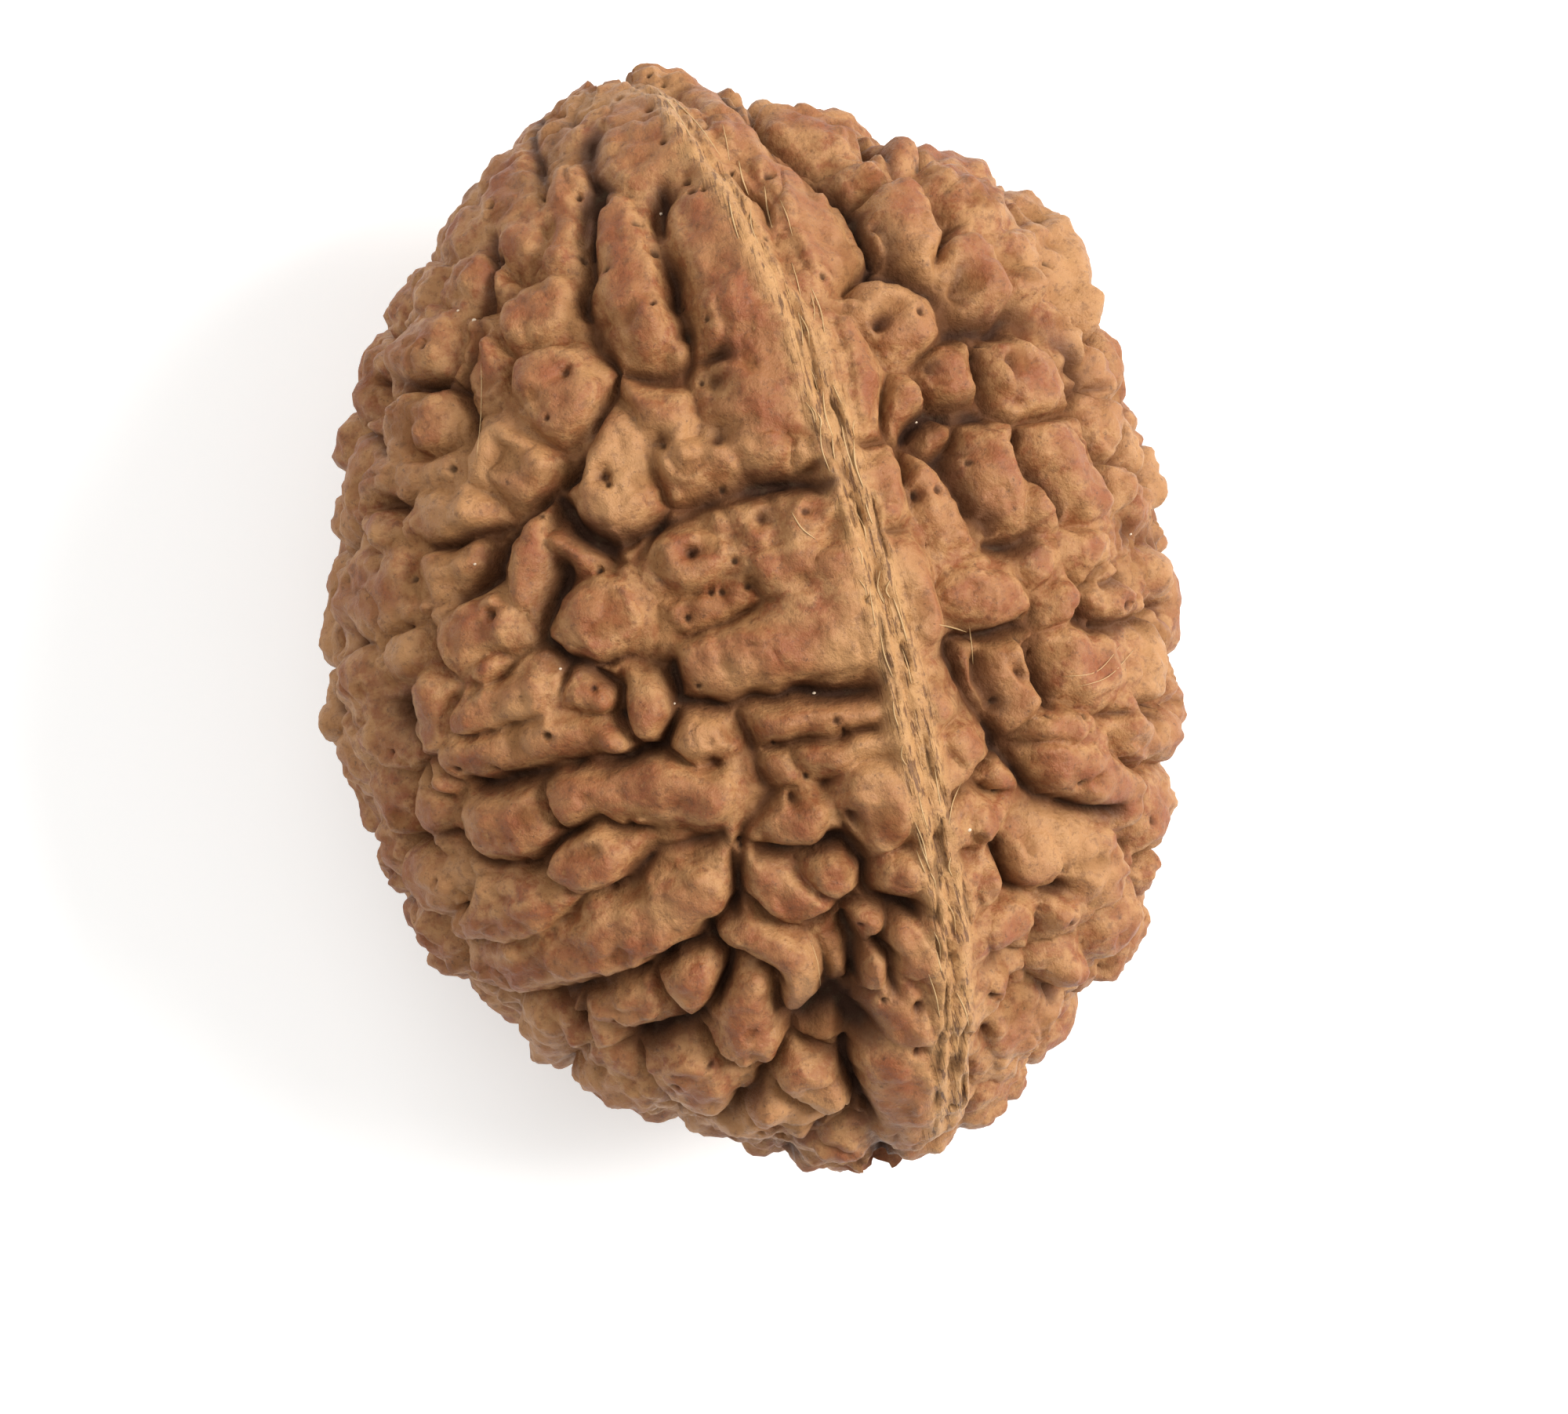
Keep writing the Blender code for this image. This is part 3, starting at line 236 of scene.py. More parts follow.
RIGHT_LOWER_LOBES = (
    (0.65, 0.0, (4.7, 0.5), (4.8, -1.2)),
    (0.9, 0.0, (6.2, -0.7), (7.1, -1.3)),
    (0.55, 0.0, (8.4, -0.4)),
    (0.7, 0.0, (8.7, -1.7)),
    (0.6, 0.0, (9.9, -0.4)),
    (0.6, 0.35, (11.2, -0.4)),
    (0.6, 0.1, (12.3, -0.5)),
    (0.8, 0.0, (11.6, -1.6)),
    (0.6, 0.0, (10.2, -2.0)),
    (0.85, 0.0, (6.8, -3.1), (6.8, -4.1)),
    (0.85, 0.0, (8.6, -3.5), (9.2, -3.8)),
    (0.85, 0.0, (10.9, -3.8), (10.7, -4.6)),
    (0.65, 0.0, (7.5, -5.3), (8.0, -5.4)),
    (0.35, 0.05, (4.5, -3.2), (4.6, -4.0)),
    (0.75, 0.0, (5.15, -5.1)),
    (0.85, 0.0, (7.4, -6.2), (8.4, -6.9), (9.1, -7.8)),
    (0.85, 0.0, (9.8, -6.0), (10.7, -6.2)),
    (0.65, 0.0, (10.2, -8.2)),
    (0.5, 0.0, (5.9, -6.5)),
    (0.75, 0.05, (5.2, -7.4)),
    (0.65, 0.0, (4.65, -9.0)),
    (0.8, 0.0, (6.2, -8.8)),
    (1.0, 0.05, (8.0, -9.1), (8.0, -10.0)),
    (0.6, 0.05, (9.3, -9.9)),
    (0.9, 0.0, (5.0, -10.6)),
    (0.5, 0.0, (6.5, -10.7)),
    (0.95, 0.0, (8.3, -11.7), (7.8, -12.1)),
    (0.7, 0.0, (6.3, -12.2)),
    (0.4, 0.1, (4.3, -12.1)),
    (1.1, 0.1, (4.6, -13.5), (5.2, -13.6)),
    (0.65, 0.0, (4.7, -15.1)),
    (0.85, 0.0, (3.1, -15.6)),
)
LOBES = (
    STALK_END_LOBES + LEFT_UPPER_LOBES + LEFT_MIDDLE_LOBES + LEFT_LOWER_LOBES + RIGHT_UPPER_LOBES
    + RIGHT_LOWER_LOBES
)

# Crevices on the face: (depth, half width, places along it)
CREVICES = (
    (1.0, 0.18, (-2.5, 15.4), (-2.8, 14.4), (-2.7, 13.5)),
    (0.9, 0.14, (-1.1, 16.2), (-1.6, 14.8)),
    (1.7, 0.20, (-1.2, 14.3), (-1.5, 12.8), (-2.2, 11.4)),
    (1.2, 0.22, (-2.2, 11.4), (-2.5, 10.3), (-2.5, 9.0), (-2.3, 8.0), (-2.7, 7.1), (-3.9, 5.9),
     (-4.6, 5.1), (-5.8, 4.4), (-6.8, 3.8), (-7.1, 3.1), (-8.3, 2.5)),
    (1.3, 0.28, (-4.8, 4.8), (-4.5, 3.9), (-3.6, 3.1), (-2.4, 3.3), (0.0, 3.65), (1.4, 3.6), (2.9, 3.2)),
    (1.2, 0.20, (0.3, 12.3), (0.1, 11.0), (0.0, 9.9), (-0.1, 8.4)),
    (1.0, 0.26, (-2.1, 7.9), (-0.8, 7.6), (0.9, 7.7)),
    (0.9, 0.20, (-4.6, 12.6), (-4.9, 11.6), (-5.6, 10.7), (-6.1, 9.6), (-6.6, 8.7), (-6.7, 7.3)),
    (0.8, 0.20, (-8.9, 9.5), (-7.9, 9.0), (-6.7, 8.6)),
    (0.6, 0.20, (-9.6, 8.3), (-9.3, 7.4)),
    (0.7, 0.20, (-9.9, 5.7), (-9.2, 5.75)),
    (0.9, 0.20, (-8.7, 4.4), (-7.5, 4.2), (-6.5, 4.3)),
    (1.3, 0.36, (-5.1, 2.7), (-5.6, 1.9), (-6.2, 0.8), (-5.9, 0.0), (-5.1, -0.4), (-4.5, -1.1),
     (-4.5, -1.9)),
    (0.9, 0.26, (-5.0, -0.3), (-4.0, -0.2), (-3.1, -0.6)),
    (1.4, 0.28, (-2.9, -0.7), (-2.8, -1.9), (-1.6, -2.3), (0.5, -2.35), (1.6, -2.6), (2.9, -2.8)),
    (1.1, 0.26, (-2.9, -2.1), (-3.4, -2.9), (-4.6, -3.2), (-6.0, -2.9), (-7.8, -2.8), (-9.2, -2.8)),
    (0.9, 0.22, (-12.3, -3.95), (-10.9, -3.9), (-10.2, -4.2), (-9.3, -5.2), (-8.2, -5.5), (-7.2, -4.8),
     (-5.8, -4.8), (-4.3, -5.7)),
    (1.2, 0.32, (-6.2, -6.8), (-5.4, -6.5), (-4.6, -6.1), (-2.6, -6.0)),
    (1.0, 0.32, (-1.2, -2.6), (-1.15, -4.2), (-0.8, -5.2), (-1.7, -6.0), (-2.3, -7.2), (-2.7, -8.3)),
    (0.6, 0.18, (-0.7, -3.85), (1.0, -3.85), (2.5, -3.95)),
    (1.2, 0.22, (-1.5, -6.7), (-0.8, -6.9), (0.7, -6.85), (1.25, -7.6), (1.2, -8.5), (2.4, -9.3)),
    (1.0, 0.24, (-10.0, -9.3), (-8.0, -9.45), (-6.0, -9.25), (-4.8, -8.95), (-3.6, -8.6), (-3.3, -9.6),
     (-3.9, -10.8)),
    (0.8, 0.18, (-7.8, -9.5), (-7.9, -10.5)),
    (1.2, 0.36, (-6.5, -11.4), (-5.4, -11.25), (-4.4, -11.2)),
    (1.5, 0.55, (-1.5, -11.9), (-0.5, -11.5), (0.1, -12.2)),
    (0.9, 0.20, (-2.9, -9.95), (-2.2, -10.1), (-1.8, -10.6)),
    (0.8, 0.20, (-0.7, -8.9), (0.3, -8.7), (1.1, -8.6)),
    (1.1, 0.22, (0.2, -9.1), (0.3, -9.9), (0.1, -11.0)),
    (0.8, 0.18, (0.9, -9.9), (1.2, -10.5), (1.2, -11.2)),
    (1.3, 0.26, (-0.5, -12.9), (-0.55, -14.0), (-0.3, -15.0), (-0.3, -16.3)),
    (1.0, 0.22, (-1.0, -14.6), (-2.0, -15.0), (-3.2, -15.4), (-4.2, -15.3)),
    (0.8, 0.20, (-2.9, -12.9), (-3.3, -13.4), (-4.4, -14.0)),
    (0.9, 0.30, (5.4, -2.0), (5.6, -3.4), (5.9, -4.8)),
    (1.2, 0.26, (5.9, -4.8), (6.4, -6.2), (6.8, -7.2)),
    (1.1, 0.18, (6.8, -7.3), (8.2, -7.8), (8.8, -8.0)),
    (1.1, 0.22, (5.7, -1.95), (6.6, -2.15), (7.6, -2.1)),
    (0.9, 0.18, (7.65, -2.8), (7.75, -4.6)),
    (0.7, 0.18, (8.8, -5.2), (9.8, -5.4), (10.7, -5.7)),
    (0.7, 0.18, (9.4, -2.2), (9.5, -2.8), (10.6, -2.9), (11.6, -2.6)),
    (1.0, 0.22, (5.2, -8.2), (5.4, -9.5), (6.0, -9.8), (6.9, -9.9)),
    (1.2, 0.32, (4.1, -11.4), (4.5, -11.5)),
    (1.2, 0.32, (7.3, 0.5), (7.9, 0.2), (8.4, 0.2)),
    (1.1, 0.26, (8.75, 3.2), (8.85, 2.3), (9.2, 1.3), (9.4, 0.8)),
    (0.8, 0.18, (12.1, 2.4), (11.8, 1.2)),
    (1.2, 0.26, (2.9, 15.4), (3.1, 14.3), (3.9, 13.3), (4.6, 12.5), (5.4, 11.6), (5.9, 10.9), (5.9, 10.0),
     (5.8, 9.2)),
    (0.8, 0.20, (6.6, 12.7), (7.5, 11.2), (8.1, 10.6), (8.2, 9.7)),
    (1.2, 0.24, (5.9, 9.2), (6.7, 8.8), (7.4, 8.1), (7.7, 7.0), (8.9, 6.6), (9.7, 6.7), (10.3, 6.2),
     (10.7, 5.4), (11.0, 4.2)),
    (1.0, 0.30, (5.9, 4.2), (6.6, 4.5), (7.6, 4.4), (8.0, 4.1)),
    (0.7, 0.18, (7.9, 4.4), (8.1, 5.4), (8.2, 6.4)),
    (0.6, 0.18, (4.0, 1.45), (4.9, 1.4)),
    (0.9, 0.40, (6.7, 3.0), (6.8, 1.6), (7.4, 0.9)),
    (0.7, 0.35, (8.8, 5.6), (8.8, 4.4)),
    (0.7, 0.25, (6.4, 3.3), (7.3, 3.25)),
    (0.7, 0.25, (10.7, 4.2), (11.4, 4.2)),
    (0.6, 0.40, (11.2, -0.2), (12.1, -0.7)),
    (0.6, 0.22, (10.1, -1.5), (10.8, -1.3)),
    (0.8, 0.35, (6.1, -2.8), (6.2, -4.3)),
    (0.6, 0.35, (6.3, 10.4), (6.5, 9.3)),
    (0.5, 0.30, (8.2, 8.4), (8.0, 7.6)),
)

# Pits on the face: (depth, radius, place)
PITS = (
    (0.7, 0.20, (-3.6, 8.3)), (0.7, 0.20, (-3.3, 5.1)), (0.9, 0.24, (-1.2, 2.35)),
    (0.8, 0.35, (0.2, 5.3)), (0.6, 0.40, (-1.3, 5.7)), (0.8, 0.30, (0.9, 2.8)),
    (0.6, 0.35, (0.45, 7.0)), (1.1, 0.50, (-10.6, -0.3)),
    (1.0, 0.35, (-12.4, 0.4)), (1.0, 0.35, (-11.6, 2.1)), (0.9, 0.28, (-2.25, -3.75)),
    (0.9, 0.32, (-0.3, -5.4)), (0.7, 0.22, (0.8, -5.2)), (0.7, 0.22, (1.3, -6.3)),
    (0.5, 0.35, (-9.9, -9.4)), (0.7, 0.28, (-10.8, -7.7)), (0.9, 0.30, (5.9, -12.9)),
    (0.9, 0.30, (3.6, -13.4)), (0.8, 0.28, (9.0, -9.2)), (0.7, 0.22, (7.2, -3.4)),
    (0.9, 0.28, (6.7, 5.85)), (0.8, 0.25, (5.7, 7.5)), (0.8, 0.25, (1.75, -11.7)),
    (0.8, 0.25, (6.2, 9.6)), (0.7, 0.22, (8.5, 9.9)), (0.6, 0.25, (5.4, 2.4)),
    (0.35, 0.3, (0.2, 0.95)), (0.5, 0.22, (7.2, -11.3)), (0.5, 0.22, (7.3, -12.4)),
    (0.8, 0.28, (-10.1, 4.2)), (0.7, 0.25, (-10.9, 4.8)),
)

# Where neighbouring lobes run together: (share, half width, places along it)
MERGES = (
    (0.95, 1.7, (-0.6, 16.6), (-0.9, 15.2), (-0.2, 13.8)), (0.8, 0.9, (-2.6, 15.6), (-3.2, 14.2)),
    (0.85, 1.4, (-4.2, 14.3), (-5.4, 12.8), (-6.6, 11.8)), (0.6, 0.6, (-3.2, 13.2), (-3.5, 11.9)),
    (0.7, 0.8, (-3.8, 12.6), (-5.0, 11.9)),
    (0.9, 1.1, (1.0, 14.2), (1.3, 12.6)), (0.7, 0.9, (2.6, 14.6), (3.7, 12.6), (4.4, 11.0)),
    (0.7, 0.8, (-8.6, 10.0), (-8.9, 9.2)), (0.7, 0.8, (-9.3, 7.3), (-8.4, 6.4)),
    (0.6, 0.6, (-7.2, 5.8), (-6.4, 6.6)), (0.7, 0.9, (-10.2, 5.8), (-9.5, 4.4), (-9.2, 3.3)),
    (0.9, 0.9, (-0.9, 5.0), (1.4, 4.9), (1.5, 6.5)), (0.7, 0.7, (-1.8, 6.4), (-0.9, 5.5)),
    (0.8, 0.9, (1.9, 1.9), (1.0, 0.2), (2.5, 0.1)), (0.6, 0.5, (-5.3, 3.7), (-5.0, 3.2)),
    (0.8, 1.4, (-11.8, 1.3), (-11.2, 0.3), (-12.0, -1.0)),
    (0.7, 0.9, (-9.9, 1.6), (-9.7, 0.0), (-9.6, -1.4)),
    (0.8, 1.0, (-8.6, 0.9), (-8.2, -0.2)), (0.7, 0.8, (-9.6, -7.2), (-8.2, -7.3)),
    (0.6, 0.7, (-8.3, -6.2), (-7.5, -6.4)), (0.5, 0.6, (-0.8, -7.4), (-0.5, -7.9)),
    (0.8, 1.0, (1.2, -11.2), (1.2, -12.6), (1.0, -14.9)), (0.7, 0.7, (7.9, -5.8), (8.3, -6.3)),
    (0.6, 0.8, (10.0, 8.6), (10.2, 7.4)), (0.6, 0.8, (9.2, -3.7), (10.2, -4.1)),
    (0.7, 1.0, (7.0, -9.0), (8.2, -10.0)), (0.6, 0.8, (4.0, -14.5), (3.6, -15.6)),
    (0.6, 0.8, (-7.6, -10.9), (-6.6, -12.8)), (0.6, 0.8, (9.3, 9.9), (9.8, 11.0)),
)

# How much crevices open and close along their length
OPENING = 0.5
OPENING_CELL = 1.3
OPENING_SEED = 33

# Section of a crevice, in its half widths: a narrow cut between wide soft flanks
CUT_SHARE = 0.6
CUT_WIDTH = 0.6
FLANK_WIDTH = 1.7

# Lobes where the face's own list leaves room, over the rim and the back
FILL_SEED = 108
FILL_TRIES = 9000
FILL_RADIUS = (0.8, 1.35)
FILL_STRETCH = 3.2
FILL_OVERLAP = 0.12
FILL_SINK = 0.25

# Pores on the face, as (radius, x, y), and those scattered over the whole stone
PORES = (
    (0.16, -1.4, 5.5), (0.14, -0.2, 1.7), (0.16, -10.0, 2.15), (0.16, -7.3, 1.85),
    (0.14, 0.3, -4.9), (0.16, 6.7, 7.5), (0.14, 5.4, 2.4), (0.16, -0.6, 11.6), (0.16, -0.3, 10.9),
    (0.14, 1.1, 12.2), (0.14, 1.4, -12.9), (0.14, 5.75, -6.8),
)
PORE_SEED = 77
PORE_COUNT = 260
PORE_RADIUS = (0.09, 0.17)
PORE_NEAR = 0.8

# Dry fibres on the face: (radius, places along it)
FIBRES = (
    (0.022, (1.7, 2.7), (1.85, 2.15), (2.2, 1.75)), (0.026, (5.1, -1.55), (5.45, -1.7), (5.85, -1.95)),
    (0.018, (5.95, -1.8), (5.9, -2.3), (5.8, -2.9)),
    (0.014, (-6.1, 9.2), (-6.3, 8.3), (-6.6, 7.3), (-6.9, 6.5)),
    (0.014, (-0.8, -9.7), (-0.75, -10.3), (-0.85, -11.0)), (0.020, (4.6, -6.2), (4.2, -6.7), (3.95, -7.3)),
    (0.012, (8.6, -4.3), (9.6, -4.3), (10.6, -3.6)), (0.012, (8.3, -3.9), (9.3, -4.1), (10.2, -3.4)),
    (0.022, (0.9, 15.9), (1.3, 15.0), (1.5, 14.2)), (0.022, (1.2, 15.6), (1.8, 14.6), (2.2, 13.5)),
    (0.030, (0.1, 16.7), (0.4, 16.4), (0.9, 16.3)), (0.030, (-0.3, 16.6), (0.1, 16.3), (0.5, 16.2)),
    (0.016, (3.6, 11.8), (3.7, 11.2), (3.7, 10.6)),
)

# Seeded fibres along the keel's strip: how many, their radii, lengths and reach along the keel
FIBRE_SEED = 19
FIBRE_COUNT = 46
FIBRE_RADII = (0.014, 0.028)
FIBRE_LENGTHS = (0.4, 1.5)
FIBRE_REACH = (-14.5, 13.5)

# Bright grit on the face: (radius, place)
GRIT = (
    (0.06, (0.1, 12.2)), (0.06, (1.05, -2.6)), (0.07, (4.5, -7.6)), (0.07, (-6.0, 10.5)),
    (0.05, (-6.4, 10.9)), (0.05, (-7.7, 3.5)), (0.05, (-6.0, -0.1)), (0.045, (-3.0, -1.9)),
    (0.05, (11.3, -0.3)), (0.045, (5.9, 4.4)),
)

# How far below the lobes' tops the painted shade of the hollows is at its darkest
HOLLOW_SHADE_DEPTH = 1.6

# Half the step over which slopes are measured
STEP = 0.05

# Cells along each side of a noise's lattice, after which it repeats
LATTICE_SIDE = 32

# Points are measured a block at a time, against what comes near the block
BLOCK = 2.5
NEAR = 3.2

CHANNEL_X = -0.3
ROD_SIDES = 28

# The middle of the egg in the row frame
EGG_ORIGIN = (0.3393, 0.0241)
REST_HEIGHT = 9.35


def smooth_curve(at: np.ndarray, knots: Knots) -> np.ndarray:
    """Read a smooth curve through knots, each knot's slope set by its neighbours.

    Args:
        at: Places to read the curve at.
        knots: (place, value) pairs in rising order.

    Returns:
        The curve's value at each place.
    """
    places, values = np.array(knots).T
    slopes = np.gradient(values, places)
    at = np.clip(at, places[0], places[-1])
    left = np.clip(np.searchsorted(places, at) - 1, 0, len(places) - 2)
    span = places[left + 1] - places[left]
    t = (at - places[left]) / span
    return (
        (2 * t**3 - 3 * t**2 + 1) * values[left]
        + (t**3 - 2 * t**2 + t) * span * slopes[left]
        + (3 * t**2 - 2 * t**3) * values[left + 1]
        + (t**3 - t**2) * span * slopes[left + 1]
    )


def smooth_step(value: np.ndarray, low: float, high: float) -> np.ndarray:
    """Rise softly from 0 to 1.

    Args:
        value: The values to judge.
        low: Where the step leaves 0.
        high: Where the step reaches 1.

    Returns:
        The share between 0 and 1.
    """
    t = np.clip((value - low) / (high - low), 0.0, 1.0)
    return t * t * (3 - 2 * t)


def noise(points: np.ndarray, cell: float, seed: int) -> np.ndarray:
    """Smooth noise between -1 and 1, from seeded values on a lattice.

    Args:
        points: Places in space, one row each.
        cell: Size of the lattice's cells, in the points' unit.
        seed: Which lattice.

    Returns:
        The noise at each place.
    """
    table = np.random.default_rng(seed).uniform(-1, 1, (LATTICE_SIDE,) * 3)
    place = points / cell
    corner = np.floor(place).astype(int)
    part = place - corner
    part = part * part * (3 - 2 * part)
    total = np.zeros(len(points))
    for step in np.ndindex(2, 2, 2):
        share = np.prod(np.where(step, part, 1 - part), axis=1)
        x, y, z = ((corner + step) % LATTICE_SIDE).T
        total += share * table[x, y, z]
    return total


@dataclass(frozen=True)
class Waves:
    """A layer of smooth noise: the size of its cells, in mm, and its seed."""

    cell: float
    seed: int

    def at(self, points: np.ndarray) -> np.ndarray:
        """The noise at some points, between -1 and 1."""
        return noise(points, self.cell, self.seed)


def blocks(points: np.ndarray, size: float) -> Iterator[np.ndarray]:
    """Group points by the grid cell they lie in.

    Args:
        points: Places in space.
        size: Edge of a grid cell.

    Yields:
        The indices of the points in one cell.
    """
    cells = np.floor(points / size).astype(np.int64)
    cells -= cells.min(axis=0)
    spread = cells.max(axis=0) + 1
    keys = (cells[:, 0] * spread[1] + cells[:, 1]) * spread[2] + cells[:, 2]
    order = np.argsort(keys, kind="stable")
    yield from np.split(order, np.flatnonzero(np.diff(keys[order])) + 1)


class Strokes:
    """Chains of segments in space. A single place is a segment with no length."""

    def __init__(self, chains: list[Chain]) -> None:
        """Keep the chains, and the segments that they are made of.

        Args:
            chains: Each chain's places in order.
        """
        self.chains = chains
        starts, ends, first = [], [], []
        for chain in chains:
            first.append(len(starts))
            for start, end in zip(chain, chain[1:] or chain):
                starts.append(start)
                ends.append(end)
        self.starts = np.array(starts)
        self.along = np.array(ends) - self.starts
        self.first = first

    def distances(self, points: np.ndarray) -> np.ndarray:
        """Measure from each point to each chain.

        Args:
            points: Places in space.

        Returns:
            Distances, a row for each point and a column for each chain.
        """
        square = np.maximum((self.along**2).sum(axis=1), TINY**2)
        reach = points @ self.along.T - (self.starts * self.along).sum(axis=1)
        t = np.clip(reach / square, 0, 1)
        to_start = (
            (points**2).sum(axis=1)[:, None] - 2 * points @ self.starts.T + (self.starts**2).sum(axis=1)
        )
        away = to_start - 2 * t * reach + t * t * square
        return np.sqrt(np.maximum(np.minimum.reduceat(away, self.first, axis=1), 0))

    def near(self, points: np.ndarray, reach: float) -> np.ndarray:
        """Find the chains that come near any of some points that lie close together.

        Args:
            points: Places in space, close together.
            reach: How near is near.

        Returns:
            The indices of those chains.
        """
        middle = (points.min(axis=0) + points.max(axis=0)) / 2
        spread = np.linalg.norm(points - middle, axis=1).max()
        return np.flatnonzero(self.distances(middle[None])[0] < spread + reach)

    def chosen(self, indices: np.ndarray) -> "Strokes":
        """Keep only some of the chains."""
        return Strokes([self.chains[index] for index in indices])


@dataclass(frozen=True)
class Egg:
    """The smooth body under the relief.

    Attributes:
        half_length: From the middle to either tip, in mm.
        half_width: From the middle to either side, in mm.
        face_height: From the middle up to the face, in mm.
        back_depth: From the middle down to the back, in mm.
        section_power: How square a cross-section is; 2 is an ellipse.
        lean: How far below the egg the lobes' flanks are seen, in mm.
        outline: (y, fullness left, fullness right) of the outline against a true ellipse.
    """

    half_length: float = 17.0
    half_width: float = 13.0
    face_height: float = 10.0
    back_depth: float = 9.6
    section_power: float = 2.15
    lean: float = 0.8
    outline: tuple[tuple[float, float, float], ...] = OUTLINE

    def reach(self, y: np.ndarray) -> tuple[np.ndarray, np.ndarray, np.ndarray]:
        """Half widths at a place along the axis.

        Args:
            y: Places along the axis.

        Returns:
            Half width to the left, to the right, and the mean fullness.
        """
        ellipse = np.sqrt(np.clip(1 - (y / self.half_length) ** 2, 0, 1))
        left = smooth_curve(y, tuple((row[0], row[1]) for row in self.outline)) * ellipse
        right = smooth_curve(y, tuple((row[0], row[2]) for row in self.outline)) * ellipse
        return self.half_width * left, self.half_width * right, (left + right) / 2

    def surface(self, directions: np.ndarray) -> np.ndarray:
        """Places on the egg.

        Args:
            directions: Unit vectors from the middle.

        Returns:
            The egg's surface in those directions.
        """
        y = self.half_length * directions[:, 1]
        left, right, fullness = self.reach(y)
        across = np.maximum(np.hypot(directions[:, 0], directions[:, 2]), TINY)
        cosine = directions[:, 0] / across
        sine = directions[:, 2] / across
        reach_x = np.maximum(np.where(cosine > 0, right, left), TINY)
        rise = np.where(sine > 0, self.face_height, self.back_depth)
        reach_z = np.maximum(rise * fullness, TINY)
        power = self.section_power
        radius = (np.abs(cosine / reach_x) ** power + np.abs(sine / reach_z) ** power) ** (-1 / power)
        return np.stack([radius * cosine, y, radius * sine], axis=1)

    def on_face(self, x: float, y: float) -> np.ndarray:
        """The egg's surface where the face shows a place, which lies below the egg and so leans inwards.

        Args:
            x: Place to the right of the axis, in mm.
            y: Place along the axis, in mm.

        Returns:
            The place in space.
        """
        across = self.seen(x + STEP, y) - self.seen(x - STEP, y)
        ahead = self.seen(x, y + STEP) - self.seen(x, y - STEP)
        out = np.cross(across, ahead)
        lean = self.lean * out / np.linalg.norm(out)
        return self.seen(x + lean[0], y + lean[1])

    def seen(self, x: float, y: float) -> np.ndarray:
        """The egg's surface straight below a place in the view from above, or its rim beside it.

        Args:
            x: Place to the right of the axis, in mm.
            y: Place along the axis, in mm.

        Returns:
            The place in space.
        """
        y = float(np.clip(y, STEP - self.half_length, self.half_length - STEP))
        left, right, fullness = self.reach(np.array([y]))
        reach = right[0] if x > 0 else left[0]
        share = min(abs(x) / reach, 1.0)
        z = self.face_height * fullness[0] * (1 - share**self.section_power) ** (1 / self.section_power)
        return np.array([np.sign(x) * share * reach, y, z])


@dataclass(frozen=True)
class Keel:
    """The two ridges where the halves of the stone meet, one on the face and one on the back.

    Attributes:
        line: (y, x) of the crest on the face.
        section: (offset to the right, height) across the ridge.
        band: The bare strip beside the crest, as offsets.
        band_soft: How far the strip fades outwards and inwards at its two edges.
        band_taper, band_taper_over: How much narrower the strip gets towards the stalk end, and where.
        calm: How much of the lobes' relief the strip smooths away.
        wander, wander_waves: How far the crest strays, in mm, and how.
        groove_offset, groove_depth, groove_width: The seam along the strip.
        back_share: The back keel's height against the face keel's.
        rise: Heights over the rim between which the keels come up, in mm.
        end_fade: How far from the tips they die out, in mm.
        rim: How near the rim lobes may cross their line, in mm.
    """

    line: Knots = KEEL_LINE
    section: Knots = KEEL_SECTION
    band: Span = (0.0, 1.1)
    band_soft: Span = (0.4, 0.2)
    band_taper: float = 0.45
    band_taper_over: Span = (7.0, 10.0)
    calm: float = 0.7
    wander: float = 0.07
    wander_waves: Waves = Waves(1.1, 31)
    groove_offset: float = 0.5
    groove_depth: float = 0.2
    groove_width: float = 0.13
    back_share: float = 0.5
    rise: Span = (0.5, 3.0)
    end_fade: float = 3.0
    rim: float = 2.0

    def offset(self, points: np.ndarray) -> np.ndarray:
        """How far to the right of the crest each point lies."""
        side = np.where(points[:, 2] > 0, 1.0, -1.0)
        return side * points[:, 0] - smooth_curve(points[:, 1], self.line)

    def height(self, points: np.ndarray, half_length: float) -> tuple[np.ndarray, np.ndarray]:
        """Height of the two keels.

        Args:
            points: Places on the egg.
            half_length: From the egg's middle to either tip.

        Returns:
            The height, and how much of each point is bare strip.
        """
        share = np.where(points[:, 2] > 0, 1.0, self.back_share)
        offset = self.offset(points) + self.wander * self.wander_waves.at(points)
        height = smooth_curve(offset, self.section)
        groove = self.groove_depth * np.exp(-(((offset - self.groove_offset) / self.groove_width) ** 2))
        upright = smooth_step(np.abs(points[:, 2]), *self.rise)
        ends = smooth_step(half_length - np.abs(points[:, 1]), 0.0, self.end_fade)
        low, high = self.band
        outer, inner = self.band_soft
        high = high - self.band_taper * smooth_step(points[:, 1], *self.band_taper_over)
        band = smooth_step(offset, low - outer, low + inner)
        band = band * (1 - smooth_step(offset, high - inner, high + outer))
        return share * (height - groove) * upright * ends, self.calm * band * upright

    def crosses(self, spine: Chain, radius: float) -> bool:
        """Whether a lobe runs onto either keel's strip.

        Args:
            spine: The lobe's places.
            radius: The lobe's radius.

        Returns:
            True where it does.
        """
        places = np.array(spine)
        offset = self.offset(places)
        near = (offset > self.band[0] - radius) & (offset < self.band[1] + radius)
        return bool(np.any(near & (np.abs(places[:, 2]) > self.rim)))


